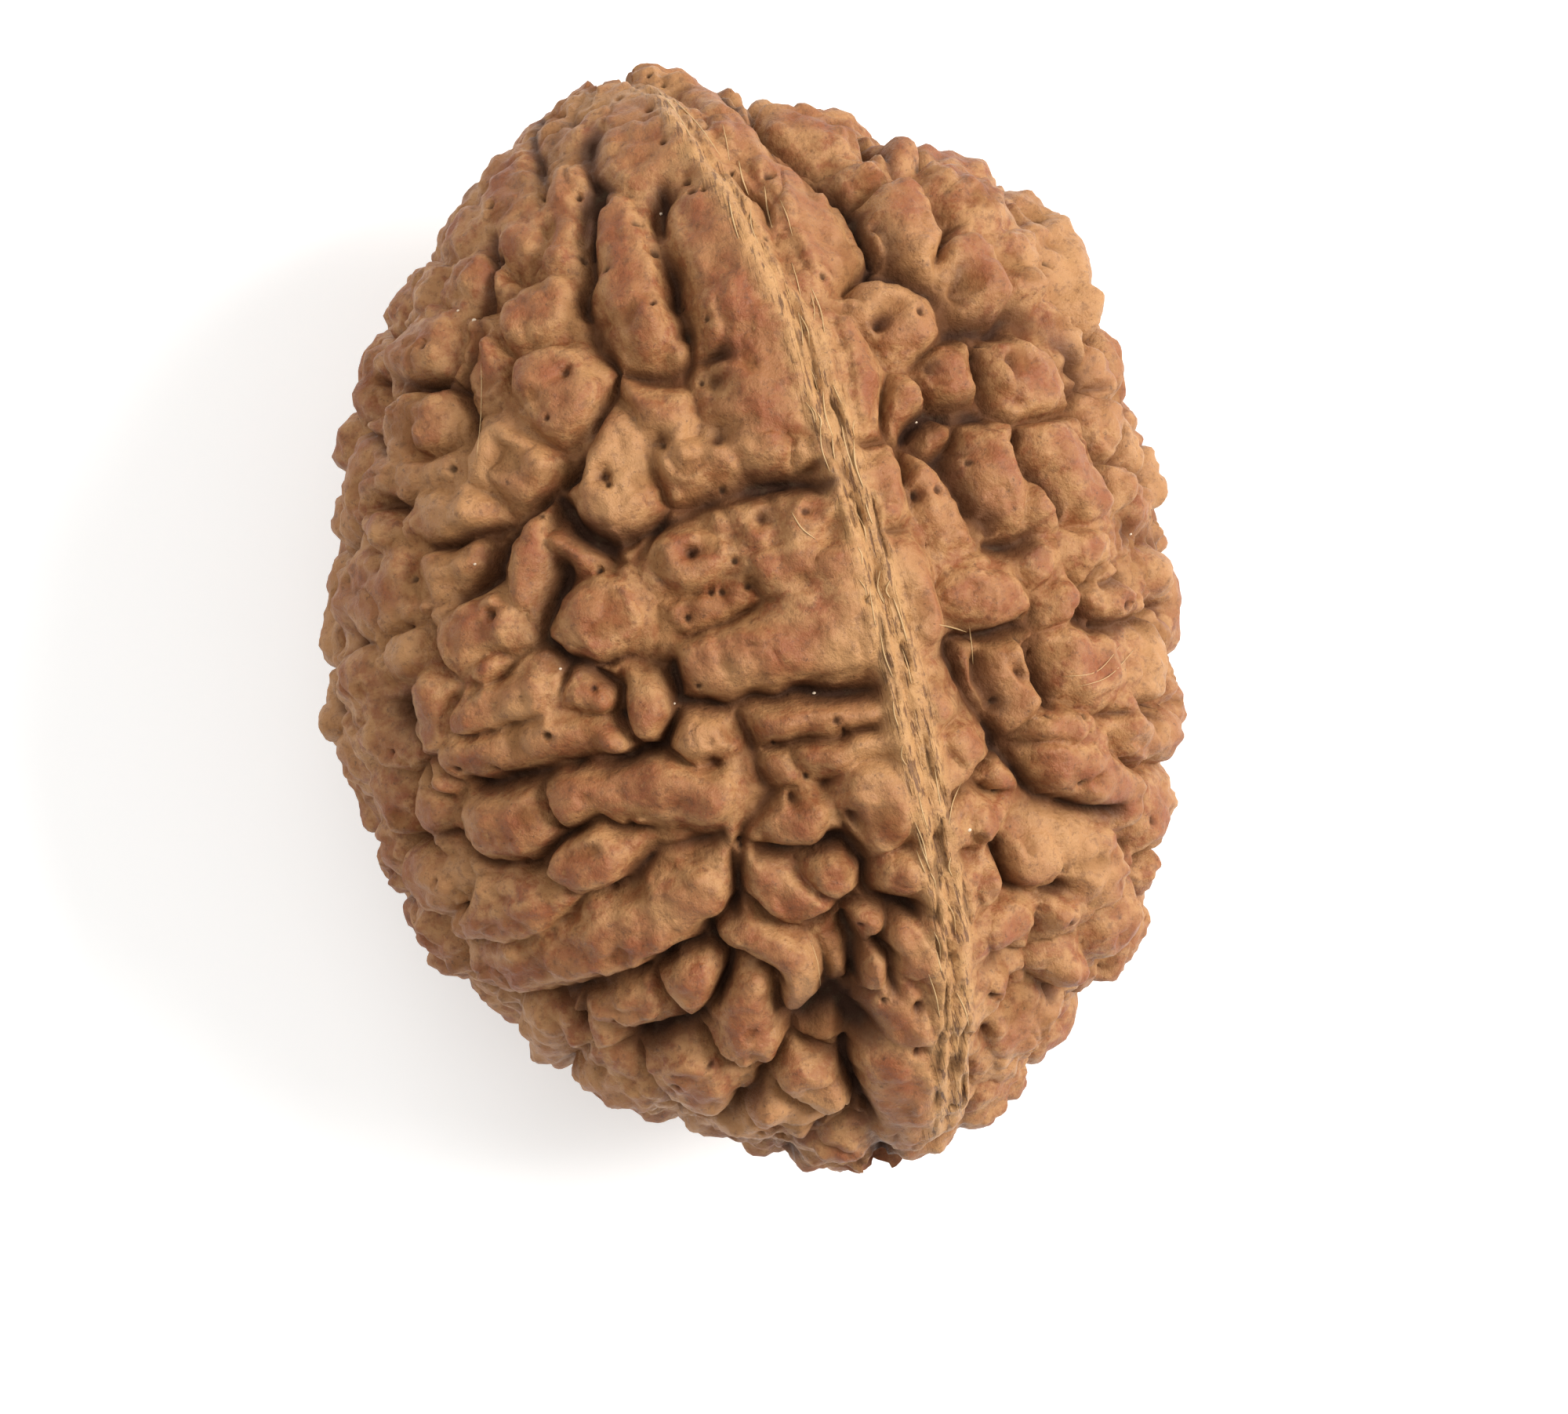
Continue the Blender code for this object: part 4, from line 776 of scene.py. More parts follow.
@dataclass
class Lobes:
    """The lobes packed over the egg, with the creases between them.

    Attributes:
        egg: The body that they lie on.
        keel: The keels that they leave bare.
        listed: (radius, sink, places along the spine) of each lobe on the face.
        drop, drop_per_radius: How far a lobe's edge lies below its top.
        roundness: How much of the fall is close to the edge, up to 0.85.
        reach: How far past its radius a lobe goes on falling, as a share of it.
        blend: How softly neighbours run together.
        shoulder_depth, shoulder_width: The round fall into a crease.
        crease_depth, crease_width, crease_least: The crease itself, and the least of it that shows.
        crease_waves, crease_fade: Where it fades in and out.
        radii, sinks, spines: What has been placed so far.
        known: The spines placed so far, ready to be measured from.
    """

    egg: Egg
    keel: Keel
    listed: tuple = LOBES
    drop: float = 0.1
    drop_per_radius: float = 0.5
    roundness: float = 0.84
    reach: float = 1.05
    blend: float = 0.28
    shoulder_depth: float = 0.26
    shoulder_width: float = 0.26
    crease_depth: float = 0.65
    crease_width: float = 0.14
    crease_least: float = 0.1
    crease_waves: Waves = Waves(2.0, 21)
    crease_fade: Span = (-0.25, 0.5)
    radii: list[float] = field(default_factory=list)
    sinks: list[float] = field(default_factory=list)
    spines: list[Chain] = field(default_factory=list)
    known: Strokes | None = None

    def __post_init__(self) -> None:
        """Place the listed lobes, then fill the room that they leave."""
        for radius, sink, *spine in self.listed:
            self.add(radius, sink, [self.egg.on_face(*place) for place in spine])
        self.fill()

    def add(self, radius: float, sink: float, spine: Chain) -> None:
        """Add one lobe.

        Args:
            radius: Its radius, in mm.
            sink: How far its top is sunk, in mm.
            spine: Its places.
        """
        self.radii.append(radius)
        self.sinks.append(sink)
        self.spines.append(spine)

    def fill(self) -> None:
        """Drop seeded lobes over the rim and the back wherever they find room."""
        rng = np.random.default_rng(FILL_SEED)
        for _ in range(FILL_TRIES):
            direction = rng.normal(size=3)
            turn = rng.normal(size=3)
            radius = rng.uniform(*FILL_RADIUS)
            stretch = rng.uniform(0, FILL_STRETCH)
            sink = rng.uniform(0, FILL_SINK)
            direction /= np.linalg.norm(direction)
            ahead = direction + turn * stretch / self.egg.half_width / np.linalg.norm(turn)
            ends = np.array([direction, ahead / np.linalg.norm(ahead)])
            spine = list(self.egg.surface(ends))
            if self.has_room(spine, radius) and not self.keel.crosses(spine, radius):
                self.add(radius, sink, spine)

    def has_room(self, spine: Chain, radius: float) -> bool:
        """Whether a lobe clears its neighbours but for a small overlap.

        Args:
            spine: The two ends of the lobe's spine.
            radius: The lobe's radius.

        Returns:
            True where it does.
        """
        tests = np.array([spine[0], (spine[0] + spine[1]) / 2, spine[1]])
        if self.known is None or len(self.known.first) != len(self.spines):
            self.known = Strokes(self.spines)
        gaps = self.known.distances(tests).min(axis=0)
        return bool(np.all(gaps >= radius + np.array(self.radii) - FILL_OVERLAP))

    def relief(self, points: np.ndarray) -> tuple[np.ndarray, np.ndarray, np.ndarray]:
        """How far each point lies below the lobes' tops.

        Args:
            points: Places on the egg, already pushed about.

        Returns:
            The relief as a negative height, the depth of the crease alone, and how near each point is to
            its lobe's edge, from 0 at the top to 1.
        """
        strokes = Strokes(self.spines)
        radii = np.array(self.radii)
        sinks = np.array(self.sinks)
        height = np.empty(len(points))
        between = np.empty(len(points))
        edge = np.empty(len(points))
        for part in blocks(points, BLOCK):
            near = strokes.near(points[part], NEAR)
            outside = strokes.chosen(near).distances(points[part]) - radii[near]
            nearest = np.partition(outside, 1, axis=1)[:, :2]
            weight = np.exp((nearest[:, :1] - outside) / self.blend)
            weight /= weight.sum(axis=1)[:, None]
            out = np.clip(1 + outside / radii[near], 0, self.reach)
            drops = self.drop + self.drop_per_radius * radii[near]
            dome = drops * (1 - np.sqrt(1 - self.roundness * out**3))
            height[part] = (weight * (-dome - sinks[near])).sum(axis=1)
            edge[part] = (weight * out).sum(axis=1)
            between[part] = nearest[:, 1] - nearest[:, 0]
        border = between / 2
        least = self.crease_least
        share = least + (1 - least) * smooth_step(self.crease_waves.at(points), *self.crease_fade)
        shoulder = self.shoulder_depth * np.exp(-border / self.shoulder_width)
        crease = self.crease_depth * share * np.exp(-((border / self.crease_width) ** 2))
        return height - shoulder - crease, crease + shoulder / 2, edge


def carved(points: np.ndarray, marks: tuple, egg: Egg) -> np.ndarray:
    """Depth of the deepest of some crevices or pits at each point.

    Args:
        points: Places on the egg.
        marks: (depth, half width, places along it) of each.
        egg: The body that they are cut into.

    Returns:
        The depth in mm.
    """
    depths = np.array([mark[0] for mark in marks])
    widths = np.array([mark[1] for mark in marks])
    strokes = Strokes([[egg.on_face(*place) for place in mark[2:]] for mark in marks])
    opening = 1 + OPENING * noise(points, OPENING_CELL, OPENING_SEED)
    depth = np.zeros(len(points))
    for part in blocks(points, BLOCK):
        near = strokes.near(points[part], NEAR)
        if len(near):
            away = strokes.chosen(near).distances(points[part]) / widths[near] / opening[part, None]
            depth[part] = (depths[near] * valley(away)).max(axis=1) * np.sqrt(opening[part])
    return depth


def valley(away: np.ndarray) -> np.ndarray:
    """Section of a crevice: a narrow cut between wide soft flanks.

    Args:
        away: Distance from its middle, in half widths.

    Returns:
        The share of its depth.
    """
    cut = np.exp(-((away / CUT_WIDTH) ** 2))
    return CUT_SHARE * cut + (1 - CUT_SHARE) * np.exp(-((away / FLANK_WIDTH) ** 2))


@dataclass
class Relief:
    """Everything that stands out of the egg or sinks into it, as one height along its normals.

    Attributes:
        floor_depth: The deepest that anything is cut, in mm.
        warp, warp_waves, fine_warp, fine_warp_waves: How lobes and crevices wander.
        swell, swell_waves: Soft rises and dips over the whole stone.
        dent_depth, dent_waves, dent_fade: Shallow dents in the lobes.
        dent_shade: How much painted shade a dent gets, against the hollows between the lobes.
        cone, cone_share, cone_fade: The smooth cone at the stalk end, what is left of the relief there, and
            how far from the cone it comes back.
        foot_share, foot_fade: The same at the other tip.
        rest_spot, rest_radius, rest_fade: The bare patch that the stone lies on.
        crease_dust_and_shade, strip_light, dust_and_shade_full_depth: How much painted shade and dust
        creases and crevices get, how much less the strip's get, and the depth where it is full.
        back_strip: How much of the pale strip shows on the back.
    """

    egg: Egg = field(default_factory=Egg)
    keel: Keel = field(default_factory=Keel)
    floor_depth: float = 1.7
    warp: float = 0.18
    warp_waves: tuple[Waves, ...] = (Waves(1.5, 1), Waves(1.5, 2), Waves(1.5, 3))
    fine_warp: float = 0.12
    fine_warp_waves: tuple[Waves, ...] = (Waves(0.7, 11), Waves(0.7, 12), Waves(0.7, 13))
    swell: float = 0.24
    swell_waves: Waves = Waves(1.3, 5)
    dent_depth: float = 0.13
    dent_waves: Waves = Waves(0.8, 81)
    dent_fade: Span = (0.2, 0.65)
    dent_shade: float = 0.6
    cone: Span = (-2.5, 17.5)
    cone_share: float = 0.25
    cone_fade: Span = (1.0, 8.0)
    foot_share: float = 0.35
    foot_fade: Span = (0.2, 1.8)
    rest_spot: Span = (0.0, -0.5)
    rest_radius: float = 2.6
    rest_fade: float = 1.4
    crease_dust_and_shade: float = 0.7
    strip_light: float = 0.6
    dust_and_shade_full_depth: float = 1.4
    back_strip: float = 0.7

    def __post_init__(self) -> None:
        """Pack the lobes and lay the skin over them."""
        self.lobes = Lobes(self.egg, self.keel)
        self.skin = Skin(self.egg, self.keel)

    def warped(self, points: np.ndarray) -> np.ndarray:
        """The points pushed about a little, so that lobes and crevices wander.

        Args:
            points: Places on the egg.

        Returns:
            The places pushed about.
        """
        push = np.stack([waves.at(points) for waves in self.warp_waves], axis=1)
        fine = np.stack([waves.at(points) for waves in self.fine_warp_waves], axis=1)
        return points + self.warp * push + self.fine_warp * fine

    def measure(self, points: np.ndarray) -> tuple[np.ndarray, dict[str, np.ndarray]]:
        """Work out the surface over the egg.

        Args:
            points: Places on the egg.

        Returns:
            The height in mm along the egg's normals, and the shares that the finish is mixed by.
        """
        wandering = self.warped(points)
        keel, band = self.keel.height(points, self.egg.half_length)
        relief, crease, edge = self.lobes.relief(wandering)
        apart = 1 - np.clip(carved(wandering, MERGES, self.egg), 0, 1)
        relief, crease = relief * apart, crease * apart
        crevice = carved(wandering, CREVICES, self.egg)
        deepest = np.maximum(crevice, carved(wandering, PITS, self.egg))
        relief -= deepest
        relief += self.swell * self.swell_waves.at(points)
        relief = -self.floor_depth * np.tanh(-relief / self.floor_depth)
        lying = self.lying_share(points)
        calm = (1 - band) * self.tip_share(points) * lying
        fine, pore, strand = self.skin.measure(points, crease + crevice, band, lying)
        dent = smooth_step(self.dent_waves.at(points), *self.dent_fade) * (1 - band) * lying
        # Painted shade, partly dust, in creases, crevices and pits; less on the keel's strip and none on
        # the resting spot
        dark = (crease * self.crease_dust_and_shade + deepest) * (1 - self.strip_light * band) * lying
        shares = {
            "cavity": np.clip(dark / self.dust_and_shade_full_depth, 0, 1),
            "edge": np.clip(edge, 0, 1),
            "band": band / self.keel.calm * np.where(points[:, 2] > 0, 1, self.back_strip),
            "pore": pore,
            "strand": strand,
            # Painted shade of the hollows, darker deeper below the lobes' tops, and of the dents
            "low": np.maximum(np.clip(-relief * calm / HOLLOW_SHADE_DEPTH, 0, 1), self.dent_shade * dent),
        }
        return keel + relief * calm + (fine - self.dent_depth * dent), shares

    def tip_share(self, points: np.ndarray) -> np.ndarray:
        """How much of the relief stands near the two tips.

        Args:
            points: Places on the egg.

        Returns:
            The share, which is 1 away from the tips.
        """
        from_stalk = np.hypot(points[:, 0] - self.cone[0], points[:, 1] - self.cone[1])
        stalk = self.cone_share + (1 - self.cone_share) * smooth_step(from_stalk, *self.cone_fade)
        from_foot = self.egg.half_length + points[:, 1]
        foot = self.foot_share + (1 - self.foot_share) * smooth_step(from_foot, *self.foot_fade)
        return np.minimum(stalk, foot)

    def lying_share(self, points: np.ndarray) -> np.ndarray:
        """0 on the spot that the stone lies on, and 1 away from it.

        Args:
            points: Places on the egg.

        Returns:
            The share of the relief that the spot leaves.
        """
        from_spot = np.hypot(points[:, 0] - self.rest_spot[0], points[:, 1] - self.rest_spot[1])
        spot = smooth_step(from_spot, self.rest_radius, self.rest_radius + self.rest_fade)
        return np.where(points[:, 2] < 0, spot, 1.0)


@dataclass(frozen=True)
class Skin:
    """The finer relief over the lobes: wrinkles, pores, strands, striations and grain.

    Attributes:
        egg, keel: What it lies on.
        wrinkle_depth, wrinkle_width: Thin furrows, where a smooth noise passes through zero.
        wrinkle_waves, wrinkle_ripple, ripple_share: That noise.
        wrinkle_places, wrinkle_fade: Where the furrows lie.
        pore_depth: How deep pores are, in mm.
        strand_depth, strand_waves, strand_fade: The grooves between the strands of the keel's strip.
        strand_sway, sway_waves: How far the grooves stray, in mm, and how.
        strand_squeeze: How much longer than wide they are, as a share.
        strand_taper, strand_taper_over: How much of them is lost towards the stalk end, and where.
        fan_depth, fan_waves, fan_fade: Striations that run out from the stalk end and from the foot.
        fan_reaches: How far from the two tips they run, in mm.
        fan_full: Up to what share of that they are whole.
        fan_radius, fan_squeeze: How closely they stand, and how much longer than wide they are.
        fan_dust_and_shade: How much painted shade they get, against the grooves between strands.
        lump_height, lump_waves, lump_share, lump_middle: Small lumps with sharp dips between them.
        lump_calm: How much of the lumps the keel's strip smooths away.
        grain: The height and the waves of each layer of grain.
    """

    egg: Egg
    keel: Keel
    wrinkle_depth: float = 0.13
    wrinkle_width: float = 0.09
    wrinkle_waves: Waves = Waves(1.5, 51)
    wrinkle_ripple: Waves = Waves(0.6, 52)
    ripple_share: float = 0.35
    wrinkle_places: Waves = Waves(2.1, 53)
    wrinkle_fade: Span = (-0.1, 0.4)
    pore_depth: float = 0.3
    strand_depth: float = 0.2
    strand_waves: Waves = Waves(0.17, 62)
    strand_fade: Span = (0.05, 0.6)
    strand_sway: float = 0.16
    sway_waves: Waves = Waves(1.4, 61)
    strand_squeeze: float = 0.16
    strand_taper: float = 0.7
    strand_taper_over: Span = (8.0, 10.0)
    fan_depth: float = 0.16
    fan_waves: tuple[Waves, Waves] = (Waves(0.3, 71), Waves(0.3, 72))
    fan_fade: Span = (0.1, 0.7)
    fan_reaches: Span = (5.0, 3.0)
    fan_full: float = 0.4
    fan_radius: float = 1.5
    fan_squeeze: float = 0.12
    fan_dust_and_shade: float = 0.7
    lump_height: float = 0.22
    lump_waves: tuple[Waves, Waves] = (Waves(0.85, 40), Waves(0.5, 43))
    lump_share: float = 0.5
    lump_middle: float = 0.35
    lump_calm: float = 0.6
    grain: tuple[tuple[float, Waves], ...] = ((0.07, Waves(0.4, 41)), (0.03, Waves(0.22, 42)))

    def measure(
        self, points: np.ndarray, cut: np.ndarray, band: np.ndarray, lying: np.ndarray
    ) -> tuple[np.ndarray, np.ndarray, np.ndarray]:
        """Work out the finer relief.

        Args:
            points: Places on the egg.
            cut: Depth of the creases and crevices there.
            band: Share of bare keel strip.
            lying: 0 on the resting spot and 1 away from it.

        Returns:
            The height, how deep in a pore each point is, and how deep in a groove between strands.
        """
        wrinkle = self.wrinkles(points) * (1 - np.clip(cut, 0, 1)) * (1 - band)
        pore = self.pores(points) * (1 - band / 2)
        taper = 1 - self.strand_taper * smooth_step(points[:, 1], *self.strand_taper_over)
        strand = self.strands(points) * band / self.keel.calm * taper
        fan = self.fans(points)
        height = self.grained(points, band) - self.wrinkle_depth * wrinkle - self.pore_depth * pore
        height = height - self.strand_depth * strand - self.fan_depth * fan
        # The depths of pores, strand grooves and striations also set their painted shade
        return height * lying, pore, np.maximum(strand, self.fan_dust_and_shade * fan)

    def grained(self, points: np.ndarray, band: np.ndarray) -> np.ndarray:
        """Small lumps with sharp dips between them, and the grain over them.

        Args:
            points: Places on the egg.
            band: Share of bare keel strip.

        Returns:
            The height.
        """
        large, small = (np.abs(waves.at(points)) for waves in self.lump_waves)
        lump = large + self.lump_share * small - self.lump_middle
        height = self.lump_height * lump * (1 - self.lump_calm * band)
        for depth, waves in self.grain:
            height += depth * waves.at(points)
        return height

    def wrinkles(self, points: np.ndarray) -> np.ndarray:
        """Thin meandering furrows.

        Args:
            points: Places on the egg.

        Returns:
            The share of a furrow's depth.
        """
        value = self.wrinkle_waves.at(points) + self.ripple_share * self.wrinkle_ripple.at(points)
        where = smooth_step(self.wrinkle_places.at(points), *self.wrinkle_fade)
        return where * np.exp(-((value / self.wrinkle_width) ** 2))

    def pores(self, points: np.ndarray) -> np.ndarray:
        """Scattered holes as fine as a pin's point, and those that the face shows one by one.

        Args:
            points: Places on the egg.

        Returns:
            The share of a pore's depth.
        """
        rng = np.random.default_rng(PORE_SEED)
        directions = rng.normal(size=(PORE_COUNT, 3))
        directions /= np.linalg.norm(directions, axis=1)[:, None]
        radii = [*rng.uniform(*PORE_RADIUS, PORE_COUNT), *(radius for radius, _, _ in PORES)]
        places = [*self.egg.surface(directions), *(self.egg.on_face(x, y) for _, x, y in PORES)]
        radii = np.array(radii)
        strokes = Strokes([[place] for place in places])
        depth = np.zeros(len(points))
        for part in blocks(points, BLOCK):
            near = strokes.near(points[part], PORE_NEAR)
            if len(near):
                away = strokes.chosen(near).distances(points[part]) / radii[near]
                depth[part] = np.exp(-(away**2)).max(axis=1)
        return depth

    def strands(self, points: np.ndarray) -> np.ndarray:
        """Broken grooves between the strands that run along the keel's strip.

        Args:
            points: Places on the egg.

        Returns:
            The share of a groove's depth.
        """
        offset = self.keel.offset(points)
        along = points[:, 1]
        sway = self.strand_sway * self.sway_waves.at(np.stack([along, 0 * along, offset], axis=1))
        squeezed = self.strand_squeeze * points[:, 1:]
        lines = np.column_stack([offset + sway, squeezed])
        return smooth_step(self.strand_waves.at(lines), *self.strand_fade)

    def fans(self, points: np.ndarray) -> np.ndarray:
        """Striations that run out from the two tips.

        Args:
            points: Places on the egg.

        Returns:
            The share of a striation's depth.
        """
        total = np.zeros(len(points))
        tips = (self.egg.half_length, -self.egg.half_length)
        for tip_y, reach, waves in zip(tips, self.fan_reaches, self.fan_waves):
            down = np.abs(points[:, 1] - tip_y)
            around = np.arctan2(points[:, 2], points[:, 0] - CHANNEL_X)
            across = self.fan_radius * np.stack([np.cos(around), np.sin(around)], axis=1)
            wheel = np.column_stack([across, down * self.fan_squeeze])
            value = smooth_step(waves.at(wheel), *self.fan_fade)
            total += value * (1 - smooth_step(down, reach * self.fan_full, reach))
        return total


@dataclass(frozen=True)
class Cloud:
    """A cloudy noise of the finish.

    Attributes:
        size: Size of its clouds, in mm.
        detail: How many finer layers it holds.
        rough: How strong the finer layers are.
        low, high: Between which of its values it fades in.
        strength: How strong it is where it is whole.
        stretch: How many times as long as wide the clouds are, along the keels.
    """

    size: float
    detail: float
    rough: float
    low: float = 0.0
    high: float = 1.0
    strength: float = 1.0
    stretch: float = 1.0


@dataclass(frozen=True)
class WoodFinish:
    """The stone's dry brown wood, with painted shade in its hollows and partly painted highlight on its
    rims, mixed from the shares kept on its mesh.

    Attributes:
        tan, russet, straw: The three browns that patch the lobes.
        strip: The pale fibrous strip along the keels.
        umber, shade, dust: The painted shade of the creases and the deepest crevices, and the dust that
            lies in them; umber and shade also colour stains, specks and dashes.
        patches: Where the wood is russet.
        rim_wear_and_highlight_fade, rim_wear_and_highlight_gaps, broad, straw_share: Where it is straw: on
        the lobes' rims, partly paler wear and partly painted highlight, and in broad patches.
        strip_share, fibres, fibre_share: How much of the strip shows, and the pale fibres in it.
        dashes, dash_share: Dark dashes in the strip.
        mottle, chalk, speckle: Small stains of umber, of the strip's colour and of shade.
        hollow_shade_fade, crease_fade: Umber painted as shade in the hollows and dents, and in the creases
            as painted shade and dust.
        deep_dust_and_shade_fade, pore_dust_and_shade_fade, strand_fade, dusting: Painted shade in crevices,
        pores and grooves, and the dust mixed into it.
        sheen, roughness, dark_roughness: How dull the wood is, and how dull the dark places are.
        dull_fade, specular: How much less the hollows shine.
        bumps, fibre_bump, bump_depth, bump_strength: The finest relief.
    """

    tan: Color = (0.28, 0.112, 0.038, 1.0)
    russet: Color = (0.235, 0.071, 0.023, 1.0)
    straw: Color = (0.43, 0.225, 0.088, 1.0)
    strip: Color = (0.44, 0.24, 0.09, 1.0)
    shade: Color = (0.042, 0.019, 0.011, 1.0)
    umber: Color = (0.102, 0.04, 0.017, 1.0)
    dust: Color = (0.075, 0.052, 0.029, 1.0)
    patches: Cloud = Cloud(0.9, 5.0, 0.68, 0.38, 0.62)
    # Straw on the rims: partly paler wear, partly painted highlight
    rim_wear_and_highlight_fade: Fade = (0.3, 0.9, 1.0)
    rim_wear_and_highlight_gaps: Cloud = Cloud(0.6, 4.0, 0.65, 0.35, 0.6)
    broad: Cloud = Cloud(3.5, 2.0, 0.5, 0.45, 0.7)
    straw_share: float = 0.7
    strip_share: float = 0.55
    fibres: Cloud = Cloud(0.15, 2.0, 0.6, 0.55, 0.66, stretch=12.0)
    fibre_share: float = 0.4
    dashes: Cloud = Cloud(0.12, 3.0, 0.6, 0.55, 0.64, stretch=7.0)
    dash_share: float = 0.8
    mottle: Cloud = Cloud(0.32, 5.0, 0.75, 0.5, 0.66, 0.45)
    chalk: Cloud = Cloud(0.24, 4.0, 0.7, 0.6, 0.74, 0.4)
    speckle: Cloud = Cloud(0.17, 3.0, 0.7, 0.6, 0.72, 0.5)
    # Painted shade: umber in the hollows and dents, and in the creases with dust
    hollow_shade_fade: Fade = (0.2, 0.85, 0.48)
    crease_fade: Fade = (0.06, 0.5, 0.85)
    # Painted shade, mixed with dust, in the deepest crevices, in pores and in grooves
    deep_dust_and_shade_fade: Fade = (0.4, 1.0, 1.0)
    pore_dust_and_shade_fade: Fade = (0.25, 0.8, 0.75)
    strand_fade: Fade = (0.35, 1.0, 0.5)
    dusting: Cloud = Cloud(0.5, 4.0, 0.7, 0.5, 0.68, 0.4)
    sheen: Cloud = Cloud(0.35, 3.0, 0.6, 0.2, 0.8)
    roughness: Span = (0.44, 0.66)
    dark_roughness: float = 0.85
    dull_fade: Fade = (0.2, 0.8, 1.0)
    specular: Span = (0.32, 0.06)
    bumps: tuple[Cloud, ...] = (
        Cloud(0.13, 4.0, 0.7, strength=0.3), Cloud(0.45, 4.0, 0.6, strength=1.4),
        Cloud(0.24, 5.0, 0.72, strength=0.9),
    )
    fibre_bump: float = 0.5
    bump_depth: float = 0.12
    bump_strength: float = 0.6

    def material(self) -> bpy.types.Material:
        """Build the node material.

        Returns:
            The material.
        """
        material = bpy.data.materials.new("dry_brown_wood")
        material.use_nodes = True
        web = Web(material)
        sockets = web.shader.inputs
        cavity, edge, low = web.share("cavity"), web.share("edge"), web.share("low")
        band, pore, strand = web.share("band"), web.share("pore"), web.share("strand")
        # Straw on the lobes' rims: partly paler wear, partly painted highlight
        rim = web.times(web.fade(edge, self.rim_wear_and_highlight_fade), web.cloud(self.rim_wear_and_highlight_gaps))
        fibre = web.times(web.cloud(self.fibres), band)
        dash = web.times(web.cloud(self.dashes), band)
        # Painted shade, mixed with dust, in the deepest crevices, pores and grooves
        dark = web.maximum(web.fade(cavity, self.deep_dust_and_shade_fade), web.fade(pore, self.pore_dust_and_shade_fade))
        dark = web.maximum(dark, web.fade(strand, self.strand_fade))
        layers = (
            (web.times(web.maximum(rim, web.cloud(self.broad)), self.straw_share), self.straw),
            (web.times(band, self.strip_share), self.strip),
            (web.times(fibre, self.fibre_share), self.strip),
            (web.cloud(self.mottle), self.umber),
            (web.cloud(self.chalk), self.strip),
            (web.cloud(self.speckle), self.shade),
            (web.times(dash, self.dash_share), self.umber),
            # Painted shade in the hollows and dents, then in the creases with dust
            (web.fade(low, self.hollow_shade_fade), self.umber),
            (web.fade(cavity, self.crease_fade), self.umber),
            (dark, web.mix(web.cloud(self.dusting), self.shade, self.dust)),
        )
        color = web.mix(web.cloud(self.patches), self.tan, self.russet)
        for share, layer in layers:
            color = web.mix(share, color, layer)
        web.join(color, sockets["Base Color"])
        rough = web.spread(web.noise(self.sheen), self.sheen.low, self.sheen.high, *self.roughness)
        web.join(web.maximum(rough, web.times(dark, self.dark_roughness)), sockets["Roughness"])
        dull = web.maximum(dark, web.fade(low, self.dull_fade))
        web.join(web.spread(dull, 0.0, 1.0, *self.specular), sockets["Specular IOR Level"])
        grain = web.times(web.add(fibre, web.times(dash, -1.0)), self.fibre_bump)
        for bump in self.bumps:
            grain = web.add(grain, web.times(web.noise(bump), bump.strength))
        web.bump(grain, self.bump_depth, self.bump_strength)
        return material


